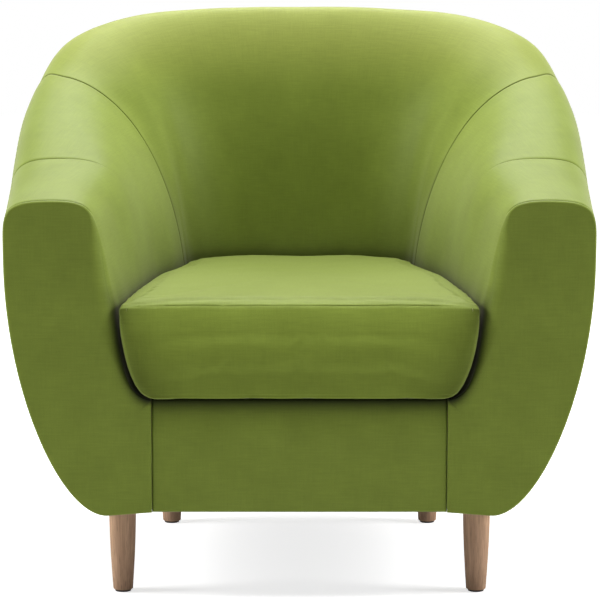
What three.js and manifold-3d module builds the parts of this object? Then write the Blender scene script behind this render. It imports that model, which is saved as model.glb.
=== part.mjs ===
// A tub chair: a padded wall that runs from one arm round the back to the other, over a wooden frame with
// sinuous springs, a loose box cushion and four turned legs. Each piece is a mesh at its real place.
// Millimetres, +Z up, the seat faces -Y, and the origin is on the floor under the middle of the chair.
import * as THREE from "three";
import { mergeVertices } from "three/addons/utils/BufferGeometryUtils.js";
import Module from "manifold-3d";

const wasm = await Module();
wasm.setup();

// The wall's outline
const frontWidth = 860; // across both arms at their fronts
const armThickness = 144;
const frontReach = 385; // from the middle of the chair to the front of the arms
const backReach = 332; // from the middle to the crown of the back
const armHeight = 593;
const backHeight = 845;
const rimOverhang = 72; // from the rim's middle to the outside of the wall at its widest
const widestDrop = 84; // how far the widest place lies below the crown
const outerShoulder = 19; // how far the outer edge of the rim is rounded down
const bottomTuck = 75; // how far the outside draws in under the rim's middle
const tuckRadius = 66; // the round where the outside turns under the base
const insideSlope = 188; // the most that the inside leans in from the rim to the seat
const baseHeight = 128.5; // the underside of the upholstery

// Seat
const seatLine = 440; // top seam of the cushion
const deckHeight = 302; // where the cushion lies
const deckThickness = 12;
const borderInset = 141.5; // from the rim's middle in to the front border's end, at the arm facing
const borderLift = 5; // of the border's lower edge above the underside
const borderSetback = 2.3; // behind the face of the arm facings

// Upholstery thickness over the frame
const sidePadding = 38;
const topPadding = 28;
const skinThickness = 9;
const facingDepth = 10;
const facingRound = 6;
const crownShift = 8; // the frame's crown stands this much further out than the padding's

// Clearances
const fit = 0.3;
const frameClearance = 1.2; // between the frame and the padding that lies on it
const seam = 0.3;
const deckClearance = 0.6; // round the seat deck
const foamClearance = 0.7; // between the cushion's foam and its cover
const legHoleClearance = 1.5; // round the legs in the dust cover
const cushionGap = 2;
const overrun = 40; // cuts run past the faces that they open
const weldDistance = 0.0003; // points closer than this are one point

// Frame
const boardThickness = 18;
const railThickness = 22;
const springSpace = 7; // between the rails and the seat deck
const sideRailLift = 41.5; // of the side rails above the underside
const sideRailInset = 64; // from the rim's middle in to the inner face of the side rails
const postInset = 9.5; // the front posts stand this much outside the border's end
const rearRailInset = 142; // from the crown of the back in to the rear rail
const topRailDepth = 60;
const blockHeight = 45;
const blockChamfer = 18;
const frontBlockDepth = 55;
const rearBlockReach = 34; // from the rear leg's middle to the block's inner end
const rearBlockDepth = 62;
const ribHoleRadius = 24;

// Legs
const frontLegInset = 94; // from the rim's middle
const frontLegSetback = 70; // from the front of the arms
const rearLegInset = 146; // from the rim's middle
const rearLegSetback = 172; // from the crown of the back
const legTopRadius = 20.5;
const legFootRadius = 14.75;
const legBulge = 1.1; // how much the taper swells at its middle
const glideHeight = 3;
const glideRadius = 12;
const glideEdge = 0.8;
const boltRadius = 4;
const boltLength = 78;
const boltDepthInLeg = 40;
const roundSides = 16; // facets round legs and holes
const boltSides = 12;

// Springs
const springShares = [0.231, 0.6744]; // of the front border's half width
const springReach = 21; // half the width of a spring
const springWire = 3.6;
const springWaves = 8;
const clipThickness = 1.2;
const clipWidth = 16;
const clipFoot = 6;
const wireSides = 5;
const waveStepCount = 8;

// Cushion
const cushionProud = 19; // how far the cushion's face stands in front of the arms
const cushionCorner = 32;
const cushionCrown = 12; // rise of its middle above the top seam
const coverThickness = 1.5;
const zipHalfLength = 92;
const zipWidth = 7;

// The wall at ten stations, from the front of the right arm to the middle of the back, as shares.
// Path of the rim's middle. across: of the front rim's distance from the middle. along: from the arm
// front to the back crown. turn: of a quarter turn. rise: from arm height to back height.
const pathShares = [
  { across: 1.0, along: 0.0, turn: 0.0, rise: 0.0 },
  { across: 1.017, along: 0.157, turn: 0.0, rise: 0.068 },
  { across: 1.03, along: 0.297, turn: 0.011, rise: 0.171 },
  { across: 1.041, along: 0.465, turn: 0.033, rise: 0.328 },
  { across: 1.041, along: 0.61, turn: 0.085, rise: 0.47 },
  { across: 1.014, along: 0.738, turn: 0.178, rise: 0.62 },
  { across: 0.947, along: 0.86, turn: 0.367, rise: 0.82 },
  { across: 0.73, along: 0.946, turn: 0.578, rise: 0.946 },
  { across: 0.39, along: 0.988, turn: 0.8, rise: 0.991 },
  { across: 0.0, along: 1.0, turn: 1.0, rise: 1.0 },
];

// Inside of the wall. slope: of insideSlope. roll and fullness: of that slope, at the rim and at the
// shoulder. shoulder: of the height above the seat line. flare: of the front's flare under the cushion.
const insideShares = [
  { slope: 0.48, roll: 0.745, fullness: 0.66, shoulder: 0.654, flare: 1.0 },
  { slope: 0.58, roll: 0.76, fullness: 0.76, shoulder: 0.77, flare: 1.0 },
  { slope: 0.676, roll: 0.787, fullness: 0.85, shoulder: 0.85, flare: 0.95 },
  { slope: 0.787, roll: 0.66, fullness: 0.9, shoulder: 0.7, flare: 0.75 },
  { slope: 0.915, roll: 0.52, fullness: 0.9, shoulder: 0.58, flare: 0.5 },
  { slope: 0.987, roll: 0.43, fullness: 0.89, shoulder: 0.533, flare: 0.4 },
  { slope: 0.995, roll: 0.42, fullness: 0.85, shoulder: 0.53, flare: 0.36 },
  { slope: 0.846, roll: 0.42, fullness: 0.68, shoulder: 0.53, flare: 0.34 },
  { slope: 0.67, roll: 0.44, fullness: 0.5, shoulder: 0.52, flare: 0.32 },
  { slope: 0.68, roll: 0.436, fullness: 0.42, shoulder: 0.52, flare: 0.32 },
];

// Top of the rim. crown and edge: of rimOverhang, where the top is highest and where its round starts.
const rimShares = [
  { crown: 0.0, edge: 1.11 },
  { crown: 0.0, edge: 0.99 },
  { crown: 0.0, edge: 0.87 },
  { crown: 0.07, edge: 0.85 },
  { crown: 0.14, edge: 0.84 },
  { crown: 0.2, edge: 0.83 },
  { crown: 0.17, edge: 0.8 },
  { crown: 0.1, edge: 0.75 },
  { crown: 0.05, edge: 0.7 },
  { crown: 0.0, edge: 0.67 },
];

const stationShares = pathShares.map((row, i) => ({ ...row, ...insideShares[i], ...rimShares[i] }));
const lastIndex = stationShares.length - 1;
const armSeamIndex = 2; // between the inside arm and the wing
const backSeamIndex = 5; // between the wing and the inside back
const sideRibIndex = 3.25;
const backRibIndex = 7.25;
const stationStepCount = 3;

// How the wall's section bends, as shares of the sizes that it follows
const flareHoldShare = 0.4;
const flareLeanShare = 0.085;
const flareHeightShare = 0.5;
const rollInsetShare = 0.65;
const shoulderInsetShare = 0.7;
const outsideHoldShare = 0.524;

// Samples along the section: deck to seat line, seat line to crown, crown to widest, widest to base
const flareCount = 3;
const insideCount = 6;
const outerEdgeCount = 4;
const outsideCount = 6;
const seatSample = flareCount;
const crownSample = seatSample + insideCount;
const widestSample = crownSample + outerEdgeCount;
const lastSample = widestSample + outsideCount;
const padEndSample = widestSample - 1; // the padding wraps over the rim to here
const topRailSamples = [crownSample - 2, crownSample + 2];
const ribHoleSamples = [
  [seatSample + 2, widestSample + 1],
  [seatSample, widestSample + 3],
];

// The cushion's levels: how far each stands back from the front, and how the crown closes in
const cushionFrontSetbacks = [17, 4, 0, 4];
const cushionInsetShares = [1, 0.8, 0.25, -1]; // how a level rises as the cover's thickness is taken off
const cushionCrownShares = [
  { rise: 0.38, size: 0.965 },
  { rise: 0.76, size: 0.84 },
  { rise: 1.0, size: 0.5 },
];
const cushionStartShare = 0.12; // of the first station's step, where the cushion's front corner ends
const cushionStepCount = 2;

const velvet = { color: 0x7f9a3c, roughness: 0.9, metalness: 0 };
const lining = { color: 0x1d1d1f, roughness: 0.95, metalness: 0 };
const feltDeck = { color: 0x55603a, roughness: 0.95, metalness: 0 };
const foam = { color: 0xe6dcc0, roughness: 0.95, metalness: 0 };
const walnut = { color: 0x7a5c49, roughness: 0.55, metalness: 0 };
const frameWood = { color: 0xc8a878, roughness: 0.8, metalness: 0 };
const springSteel = { color: 0x6b6e72, roughness: 0.4, metalness: 1 };
const zincSteel = { color: 0xa9adb2, roughness: 0.35, metalness: 1 };
const nylon = { color: 0x2a2422, roughness: 0.6, metalness: 0 };

const chair = new THREE.Group();

function addMesh(name, geometry, finish) {
  const mesh = new THREE.Mesh(geometry, new THREE.MeshStandardMaterial(finish));
  mesh.name = name;
  geometry.computeVertexNormals();
  chair.add(mesh);
  return mesh;
}

// Adds a piece of the right-hand side and its mirror image on the left.
function addPair(name, geometry, finish) {
  addMesh(name + "_right", geometry, finish);
  addMesh(name + "_left", mirrored(geometry), finish);
}

function mirrored(geometry) {
  const copy = geometry.clone().scale(-1, 1, 1);
  return turnedOutward(copy);
}

function bareGeometry(geometry) {
  const bare = geometry.clone();
  bare.deleteAttribute("normal");
  bare.deleteAttribute("uv");
  return mergeVertices(bare, weldDistance);
}

function signedVolume(geometry) {
  const place = geometry.getAttribute("position");
  const index = geometry.index.array;
  const [a, b, c] = [new THREE.Vector3(), new THREE.Vector3(), new THREE.Vector3()];
  let sum = 0;
  for (let i = 0; i < index.length; i += 3) {
    a.fromBufferAttribute(place, index[i]);
    b.fromBufferAttribute(place, index[i + 1]);
    c.fromBufferAttribute(place, index[i + 2]);
    sum += a.dot(b.cross(c));
  }
  return sum;
}

function turnedOutward(geometry) {
  if (signedVolume(geometry) < 0) {
    const index = geometry.index.array;
    for (let i = 0; i < index.length; i += 3) {
      [index[i], index[i + 1]] = [index[i + 1], index[i]];
    }
  }
  return geometry;
}

function toSolid(geometry) {
  const bare = turnedOutward(bareGeometry(geometry));
  return new wasm.Manifold(
    new wasm.Mesh({
      numProp: 3,
      vertProperties: new Float32Array(bare.getAttribute("position").array),
      triVerts: new Uint32Array(bare.index.array),
    }),
  );
}

function toGeometry(solid) {
  const made = solid.getMesh();
  const geometry = new THREE.BufferGeometry();
  geometry.setAttribute("position", new THREE.BufferAttribute(made.vertProperties, 3));
  geometry.setIndex(new THREE.BufferAttribute(made.triVerts, 1));
  return geometry;
}

// Two-dimensional picture of a ring of points, seen along the direction that it faces most.
function flattened(ring) {
  const facing = new THREE.Vector3();
  ring.forEach((p, i) => {
    const q = ring[(i + 1) % ring.length];
    facing.x += (p.y - q.y) * (p.z + q.z);
    facing.y += (p.z - q.z) * (p.x + q.x);
    facing.z += (p.x - q.x) * (p.y + q.y);
  });
  const size = { x: Math.abs(facing.x), y: Math.abs(facing.y), z: Math.abs(facing.z) };
  if (size.x >= size.y && size.x >= size.z) return ring.map((p) => new THREE.Vector2(p.y, p.z));
  if (size.y >= size.z) return ring.map((p) => new THREE.Vector2(p.z, p.x));
  return ring.map((p) => new THREE.Vector2(p.x, p.y));
}

// A closed solid through rings of as many points each, with a flat cap on the first and the last.
function loft(rings) {
  const count = rings[0].length;
  const points = rings.flat();
  const places = points.flatMap((p) => [p.x, p.y, p.z]);
  const faces = [];
  for (let row = 0; row + 1 < rings.length; row++) {
    for (let i = 0; i < count; i++) {
      const next = (i + 1) % count;
      const [a, b] = [row * count + i, row * count + next];
      const [c, d] = [a + count, b + count];
      // the shorter diagonal, so that layers that lie on each other fold alike
      const folded = points[a].distanceTo(points[d]) > points[b].distanceTo(points[c]);
      if (folded) faces.push(a, b, c, b, d, c);
      else faces.push(a, b, d, a, d, c);
    }
  }
  const cap = (ring, start, reverse) => {
    const flat = flattened(ring);
    const clockwise = THREE.ShapeUtils.isClockWise(flat);
    const order = ring.map((_, i) => (clockwise ? ring.length - 1 - i : i));
    const found = THREE.ShapeUtils.triangulateShape(order.map((i) => flat[i]), []);
    for (const face of found) {
      const [a, b, c] = face.map((i) => start + order[i]);
      // the wall's first edge runs from point 0 to point 1, so the cap has to run the other way
      if (clockwise !== reverse) faces.push(a, b, c);
      else faces.push(a, c, b);
    }
  };
  cap(rings[0], 0, false);
  cap(rings[rings.length - 1], (rings.length - 1) * count, true);
  const geometry = new THREE.BufferGeometry();
  geometry.setAttribute("position", new THREE.BufferAttribute(new Float32Array(places), 3));
  geometry.setIndex(faces);
  return turnedOutward(geometry);
}

function box(low, high) {
  const size = new THREE.Vector3().subVectors(high, low);
  const middle = new THREE.Vector3().addVectors(low, high).multiplyScalar(1 / 2);
  const made = bareGeometry(new THREE.BoxGeometry(size.x, size.y, size.z));
  return made.translate(middle.x, middle.y, middle.z);
}

const quarterTurn = Math.PI / 2;
const at = (x, y, z) => new THREE.Vector3(x, y, z);
const sum = (values) => values.reduce((a, b) => a + b, 0);

// The wall

const rimAcross = (frontWidth - armThickness) / 2;
const borderHalfWidth = rimAcross - borderInset;
const borderBottom = baseHeight + borderLift;

// Smooth value between b and c, with a and d as their neighbours.
function spline(a, b, c, d, share) {
  const [square, cube] = [share ** 2, share ** 3];
  const parts = [
    a * (2 * square - share - cube),
    b * (2 - 5 * square + 3 * cube),
    c * (share + 4 * square - 3 * cube),
    d * (cube - square),
  ];
  return sum(parts) / 2;
}

// The row before the first station carries on its slope, and the one past the last mirrors the back.
function shareRow(index) {
  const names = Object.keys(stationShares[0]);
  if (index < 0) {
    const [first, second] = stationShares;
    return Object.fromEntries(names.map((name) => [name, 2 * first[name] - second[name]]));
  }
  if (index <= lastIndex) return stationShares[index];
  const twin = stationShares[2 * lastIndex - index];
  return { ...twin, across: -twin.across, turn: 2 - twin.turn };
}

function stationAt(t) {
  const low = Math.min(Math.floor(t), lastIndex - 1);
  const rows = [low - 1, low, low + 1, low + 2].map(shareRow);
  const value = (name) => spline(...rows.map((row) => row[name]), t - low);
  return {
    x: value("across") * rimAcross,
    y: value("along") * (frontReach + backReach) - frontReach,
    angle: value("turn") * quarterTurn,
    height: armHeight + value("rise") * (backHeight - armHeight),
    slope: value("slope") * insideSlope,
    crown: value("crown") * rimOverhang,
    roll: value("roll"),
    fullness: value("fullness"),
    shoulder: value("shoulder"),
    edge: value("edge") * rimOverhang,
    flare: value("flare") * seatFlare,
  };
}

// Layers of the wall: its surface, the back of the padding, and the frame inside with a clearance.
const surfaceLayer = { side: 0, top: 0, skin: 0, shift: 0, foot: 0, flareShare: 1 };
const paddingBack = {
  side: sidePadding,
  top: topPadding,
  skin: skinThickness,
  shift: crownShift,
  foot: deckThickness,
  flareShare: 0,
};
const frameLayer = {
  ...paddingBack,
  side: sidePadding + frameClearance,
  top: topPadding + frameClearance,
  skin: skinThickness + frameClearance,
};
const frontSlope = stationShares[0].slope * insideSlope;
const seatFlare = rimAcross - borderHalfWidth - frontSlope;

function curvePoints(count, ...corners) {
  const curve = new THREE.CubicBezierCurve(...corners.map(([r, z]) => new THREE.Vector2(r, z)));
  return curve.getPoints(count);
}

// The wall's section at a station: points of distance out from the rim's middle, and height.
function sectionLine(station, layer) {
  const { height, slope, roll, fullness, shoulder, edge } = station;
  const top = height - layer.top;
  const crown = station.crown + layer.shift;
  const inner = layer.side - slope;
  const flare = station.flare * layer.flareShare;
  const foot = deckHeight - layer.foot;
  const outer = rimOverhang - layer.skin;
  const widest = height - widestDrop;
  const base = baseHeight + layer.skin;
  const insideHeight = seatLine + shoulder * (height - seatLine) - layer.top * shoulderInsetShare;
  const inside = [
    ...curvePoints(
      flareCount,
      [inner - flare, foot],
      [inner - flare * flareHoldShare, foot],
      [inner - flare * flareLeanShare, foot + flareHeightShare * (seatLine - foot)],
      [inner, seatLine],
    ),
    ...curvePoints(
      insideCount,
      [inner, seatLine],
      [layer.side - fullness * slope, insideHeight],
      [crown - roll * slope + layer.side * rollInsetShare, top],
      [crown, top],
    ).slice(1),
  ];
  const outside = [
    ...curvePoints(
      outerEdgeCount,
      [crown, top],
      [edge - layer.top * shoulderInsetShare, top],
      [outer, top - outerShoulder],
      [outer, widest],
    ).slice(1),
    ...curvePoints(
      outsideCount,
      [outer, widest],
      [outer, widest - outsideHoldShare * (widest - base)],
      [tuckRadius - bottomTuck, base],
      [-bottomTuck, base],
    ).slice(1),
  ];
  return [...inside, ...outside];
}

function sectionAt(t, layer) {
  const station = stationAt(t);
  const out = { x: Math.cos(station.angle), y: Math.sin(station.angle) };
  return sectionLine(station, layer).map(
    (p) => at(station.x + p.x * out.x, station.y + p.x * out.y, p.y),
  );
}

// Every layer is flat between the same grid stations, so that pieces that touch stay parallel.
function wallLine(t, layer) {
  if (t > lastIndex) {
    return wallLine(2 * lastIndex - t, layer).map((p) => at(-p.x, p.y, p.z));
  }
  const low = Math.min(Math.floor(t * stationStepCount), lastIndex * stationStepCount - 1);
  const share = t * stationStepCount - low;
  const before = sectionAt(low / stationStepCount, layer);
  const after = sectionAt((low + 1) / stationStepCount, layer);
  return before.map((p, i) => p.lerp(after[i], share));
}

function outwardAt(t) {
  const mirroredSide = t > lastIndex;
  const { angle } = stationAt(mirroredSide ? 2 * lastIndex - t : t);
  return at(Math.cos(angle) * (mirroredSide ? -1 : 1), Math.sin(angle), 0);
}

// Direction along the rim, from the right arm towards the left.
function alongAt(t) {
  const out = outwardAt(t);
  return at(-out.y, out.x, 0);
}

function gridBetween(from, to, steps = stationStepCount) {
  const inner = [];
  const first = Math.floor(from * steps + Number.EPSILON) + 1;
  for (let i = first; i < to * steps - Number.EPSILON; i++) inner.push(i / steps);
  return [from, ...inner, to];
}

// The station that lies a distance behind the front of the arm, within the first grid step.
function stationBehindFront(distance) {
  const [first, next] = [0, 1 / stationStepCount].map(stationAt);
  return distance / (next.y - first.y) / stationStepCount;
}

// Shortens a line of points at its start or end by a distance.
function shortened(line, start, end) {
  const out = line.map((p) => p.clone());
  const last = out.length - 1;
  const pull = (p, q, distance) => p.lerp(q, distance / p.distanceTo(q));
  if (start) pull(out[0], line[1], start);
  if (end) pull(out[last], line[last - 1], end);
  return out;
}

// Padding or outer skin between two stations and two samples of the section, seamed to its neighbours.
function wallPanel(from, to, firstSample, endSample) {
  const startTrim = firstSample ? seam / 2 : 0;
  const endTrim = endSample < lastSample ? seam / 2 : 0;
  const rings = gridBetween(from, to).map((t, i, all) => {
    const pick = (layer) =>
      shortened(wallLine(t, layer).slice(firstSample, endSample + 1), startTrim, endTrim);
    const surface = pick(surfaceLayer);
    const back = pick(paddingBack);
    if (!firstSample) back.unshift(at(surface[0].x, surface[0].y, back[0].z));
    const nudge = i === 0 ? seam / 2 : i === all.length - 1 ? -seam / 2 : 0;
    const shift = alongAt(t).multiplyScalar(nudge);
    return [...back.reverse(), ...surface].map((p) => p.add(shift));
  });
  return loft(rings);
}

// Moves each point of a flat ring in its X-Z plane inward by a distance, and along Y.
function insetRing(ring, distance, y) {
  const area = THREE.ShapeUtils.area(ring.map((p) => new THREE.Vector2(p.x, p.z)));
  const side = Math.sign(area);
  return ring.map((p, i) => {
    const before = ring[(i + ring.length - 1) % ring.length];
    const after = ring[(i + 1) % ring.length];
    const edge = new THREE.Vector2(after.x - before.x, after.z - before.z).normalize();
    return at(p.x - side * edge.y * distance, y, p.z + side * edge.x * distance);
  });
}

const facingBack = -frontReach + facingDepth;

function armFacing() {
  const outline = wallLine(0, surfaceLayer);
  outline.push(at(borderHalfWidth, -frontReach, borderBottom));
  const depthShares = [0, 0.12, 0.42];
  const insetShares = [1, 0.42, 0.08];
  const rings = depthShares.map((share, i) =>
    insetRing(outline, facingRound * insetShares[i], -frontReach + share * facingDepth),
  );
  rings.push(insetRing(outline, 0, facingBack));
  return loft(rings);
}

function frontBorder() {
  const [low, high] = [borderBottom, deckHeight];
  const front = -frontReach + borderSetback;
  const profile = new THREE.Shape();
  profile.moveTo(facingBack, low);
  profile.lineTo(front + facingRound, low);
  profile.quadraticCurveTo(front, low, front, low + facingRound);
  profile.lineTo(front, high - facingRound);
  profile.quadraticCurveTo(front, high, front + facingRound, high);
  profile.lineTo(facingBack, high);
  const length = 2 * (borderHalfWidth - seam);
  const settings = { depth: length, bevelEnabled: false, curveSegments: 4 };
  const made = new THREE.ExtrudeGeometry(profile, settings);
  // the profile's first axis becomes Y, its second Z, and its depth X
  const turn = new THREE.Matrix4().makeBasis(at(0, 1, 0), at(0, 0, 1), at(1, 0, 0));
  return bareGeometry(made).applyMatrix4(turn).translate(-length / 2, 0, 0);
}

// Frame

const postFront = facingBack + fit;
const postBack = postFront + boardThickness;
const postInner = borderHalfWidth + postInset;
const railTop = deckHeight - deckThickness - springSpace;
const sideRailBottom = baseHeight + sideRailLift;
const sideRailInner = rimAcross - sideRailInset;
const rearRailFront = backReach - rearRailInset;
const rearRailHalfLength = sideRailInner + railThickness / 2;
const rearRailBack = rearRailFront + railThickness;
const frameBase = baseHeight + skinThickness + frameClearance;

function frontPost() {
  const foot = deckHeight - deckThickness - fit;
  const rings = [postFront, postBack].map((y) => {
    const line = wallLine(stationBehindFront(y + frontReach), frameLayer);
    return [at(postInner, y, frameBase), at(postInner, y, foot), ...line].map((p) => at(p.x, y, p.z));
  });
  return loft(rings);
}

// Everything under the seat, inside the rails' outer faces, is kept clear of the ribs.
function seatBaseClearance() {
  const halfWidth = sideRailInner + railThickness + fit;
  const low = at(-halfWidth, -frontReach - overrun, -overrun);
  return toSolid(box(low, at(halfWidth, rearRailBack + fit, railTop + fit)));
}

function belowRails() {
  const reach = frontWidth;
  return toSolid(box(at(-reach, -reach, -overrun), at(reach, reach, sideRailBottom)));
}

function topRailFloor(t) {
  return wallLine(t, surfaceLayer)[crownSample].z - topPadding - topRailDepth;
}

// Everything above a rib's flat top, where the top rail lies.
function aboveRib(ends) {
  const low = Math.min(...ends.map(topRailFloor)) - fit;
  const reach = frontWidth;
  return toSolid(box(at(-reach, -reach, low), at(reach, reach, backHeight + overrun)));
}

// The rim's length from one station to the next.
function stationSpacing(t) {
  const near = Math.min(t, lastIndex - 1 / stationStepCount);
  const [a, b] = [near, near + 1 / stationStepCount].map(stationAt);
  return Math.hypot(b.x - a.x, b.y - a.y) * stationStepCount;
}

function rib(t) {
  const half = boardThickness / 2 / stationSpacing(t);
  const ends = [t - half, t + half];
  const slab = toSolid(loft(gridBetween(...ends).map((end) => wallLine(end, frameLayer))));
  let solid = slab.subtract(aboveRib(ends)).subtract(seatBaseClearance()).subtract(belowRails());
  const line = wallLine(t, frameLayer);
  for (const [insideSample, outsideSample] of ribHoleSamples) {
    const middle = line[insideSample].clone().lerp(line[outsideSample], 1 / 2);
    const hole = new THREE.CylinderGeometry(ribHoleRadius, ribHoleRadius, 2 * overrun, roundSides);
    const along = alongAt(t);
    const turn = new THREE.Quaternion().setFromUnitVectors(at(0, 1, 0), along);
    const placed = bareGeometry(hole).applyQuaternion(turn).translate(middle.x, middle.y, middle.z);
    solid = solid.subtract(toSolid(placed));
  }
  return toGeometry(solid);
}

function topRail(from, to, startGap, endGap) {
  const [first, last] = topRailSamples;
  const rings = gridBetween(from, to).map((t, i, all) => {
    const line = wallLine(t, frameLayer).slice(first, last + 1);
    const floor = topRailFloor(t);
    const nudge = i === 0 ? startGap : i === all.length - 1 ? -endGap : 0;
    const shift = alongAt(t).multiplyScalar(nudge);
    const [a, b] = [line[0], line[line.length - 1]];
    return [at(b.x, b.y, floor), at(a.x, a.y, floor), ...line].map((p) => p.clone().add(shift));
  });
  return loft(rings);
}

// A block under the seat's corner, with its lower outer edge planed off where the side draws in.
function cornerBlock(low, high, boltX, boltY) {
  const profile = new THREE.Shape();
  profile.moveTo(low.x, low.z);
  profile.lineTo(high.x - blockChamfer, low.z);
  profile.lineTo(high.x, low.z + blockChamfer);
  profile.lineTo(high.x, high.z);
  profile.lineTo(low.x, high.z);
  const depth = high.y - low.y;
  const made = new THREE.ExtrudeGeometry(profile, { depth, bevelEnabled: false });
  const turn = new THREE.Matrix4().makeBasis(at(1, 0, 0), at(0, 0, 1), at(0, 1, 0));
  const block = toSolid(bareGeometry(made).applyMatrix4(turn).translate(0, low.y, 0));
  const radius = boltRadius + fit;
  const hole = new THREE.CylinderGeometry(radius, radius, 2 * overrun + blockHeight, roundSides);
  const upright = bareGeometry(hole).rotateX(quarterTurn);
  upright.translate(boltX, boltY, (low.z + high.z) / 2);
  return toGeometry(block.subtract(toSolid(upright)));
}

// Legs

const frontLegAcross = rimAcross - frontLegInset;
const frontLegAlong = frontLegSetback - frontReach;
const rearLegAcross = rimAcross - rearLegInset;
const rearLegAlong = backReach - rearLegSetback;
const legTop = frameBase - fit;
const legBottom = glideHeight + fit;

function leg() {
  const steps = 5;
  const profile = [new THREE.Vector2(0, legBottom)];
  for (let i = 0; i <= steps; i++) {
    const share = i / steps;
    const taper = legFootRadius + (legTopRadius - legFootRadius) * share;
    const swell = legBulge * Math.sin(Math.PI * share);
    profile.push(new THREE.Vector2(taper + swell, legBottom + (legTop - legBottom) * share));
  }
  const bore = boltRadius + fit;
  const boreBottom = legTop - boltDepthInLeg - fit;
  profile.push(new THREE.Vector2(bore, legTop));
  profile.push(new THREE.Vector2(bore, boreBottom));
  profile.push(new THREE.Vector2(0, boreBottom));
  return revolved(profile, roundSides);
}

function revolved(profile, segments) {
  return turnedOutward(bareGeometry(new THREE.LatheGeometry(profile, segments)).rotateX(quarterTurn));
}

function legBolt() {
  const low = legTop - boltDepthInLeg;
  const tip = boltRadius / 2;
  const outline = [
    [0, low],
    [boltRadius - tip, low],
    [boltRadius, low + tip],
    [boltRadius, low + boltLength],
    [0, low + boltLength],
  ];
  return revolved(outline.map(([r, z]) => new THREE.Vector2(r, z)), boltSides);
}

function glide() {
  const outline = [
    [0, 0],
    [glideRadius - glideEdge, 0],
    [glideRadius, glideEdge],
    [glideRadius, glideHeight],
    [0, glideHeight],
  ];
  return revolved(outline.map(([r, z]) => new THREE.Vector2(r, z)), boltSides);
}

// Springs

const wireRadius = springWire / 2;
const clipRadius = wireRadius + fit + clipThickness;
const wireHeight = railTop + fit + clipRadius;
const frontRailFront = postFront;
const frontRailBack = frontRailFront + railThickness;
const springFront = (frontRailFront + frontRailBack) / 2;
const springBack = (rearRailFront + rearRailBack) / 2;

// A flat meander whose bars run across the seat, with round turns at its sides.
class MeanderCurve extends THREE.Curve {
  constructor(across) {
    super();
    this.across = across;
  }
  getPoint(t) {
    const waves = springWaves * 2 * Math.PI;
    const phase = t * waves;
    const pitch = (springBack - springFront) / waves;
    const bulgeShare = 0.47;
    const y = springFront + pitch * (phase - bulgeShare * Math.sin(2 * phase));
    return at(this.across + springReach * Math.sin(phase), y, wireHeight);
  }
}

function ringSection(radius, sides) {
  const shape = new THREE.Shape();
  for (let i = 0; i < sides; i++) {
    const angle = (i / sides) * 2 * Math.PI;
    const [x, y] = [radius * Math.cos(angle), radius * Math.sin(angle)];
    if (i) shape.lineTo(x, y);
    else shape.moveTo(x, y);
  }
  return shape;
}

function spring(across) {
  const made = new THREE.ExtrudeGeometry(ringSection(wireRadius, wireSides), {
    steps: springWaves * waveStepCount,
    extrudePath: new MeanderCurve(across),
    bevelEnabled: false,
  });
  return turnedOutward(bareGeometry(made));
}

// A bent steel clip, nailed on the rail, with the spring's end bar in its hook. It opens along +Y.
function springClip(across, along, facing) {
  const [outer, inner] = [clipRadius, clipRadius - clipThickness];
  const mouth = Math.PI / 3;
  const shape = new THREE.Shape();
  shape.moveTo(-outer - clipFoot, -outer);
  shape.lineTo(outer / 2, -outer);
  shape.lineTo(inner * Math.cos(mouth), -inner * Math.sin(mouth));
  shape.absarc(0, 0, inner, -mouth, mouth, true);
  shape.absarc(0, 0, outer, mouth, Math.PI, false);
  shape.lineTo(-outer, clipThickness - outer);
  shape.lineTo(-outer - clipFoot, clipThickness - outer);
  const settings = { depth: clipWidth, bevelEnabled: false, curveSegments: 4 };
  const made = new THREE.ExtrudeGeometry(shape, settings);
  const turn = new THREE.Matrix4().makeBasis(at(0, facing, 0), at(0, 0, 1), at(1, 0, 0));
  const placed = bareGeometry(made).translate(0, 0, -clipWidth / 2).applyMatrix4(turn);
  return turnedOutward(placed.translate(across, along, wireHeight));
}

// Seat

// Plan outline that follows one sample of the wall all round the inside, held off by a gap.
function planOutline(layer, sample, gap) {
  const start = stationBehindFront(facingDepth + fit);
  return gridBetween(start, 2 * lastIndex - start).map((t) => {
    const p = wallLine(t, layer)[sample];
    const inward = outwardAt(t).multiplyScalar(-gap);
    return new THREE.Vector2(p.x + inward.x, p.y + inward.y);
  });
}

function flatPanel(outline, low, thickness, holes) {
  const shape = new THREE.Shape(outline);
  for (const [x, y, radius] of holes) {
    const hole = new THREE.Path();
    hole.absarc(x, y, radius, 0, 2 * Math.PI, true);
    shape.holes.push(hole);
  }
  const settings = { depth: thickness, bevelEnabled: false, curveSegments: 6 };
  const made = new THREE.ExtrudeGeometry(shape, settings);
  return turnedOutward(bareGeometry(made).translate(0, 0, low));
}

function seatDeck() {
  const low = deckHeight - deckThickness + fit;
  return flatPanel(planOutline(surfaceLayer, 0, deckClearance), low, deckThickness - 2 * fit, []);
}

const legPlaces = [
  ["front_right", frontLegAcross, frontLegAlong],
  ["front_left", -frontLegAcross, frontLegAlong],
  ["rear_right", rearLegAcross, rearLegAlong],
  ["rear_left", -rearLegAcross, rearLegAlong],
];

function dustCover() {
  const thickness = coverThickness;
  const holes = legPlaces.map(([, x, y]) => [x, y, legTopRadius + legHoleClearance]);
  const low = frameBase - fit - thickness;
  return flatPanel(planOutline(surfaceLayer, lastSample, fit), low, thickness, holes);
}

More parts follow.
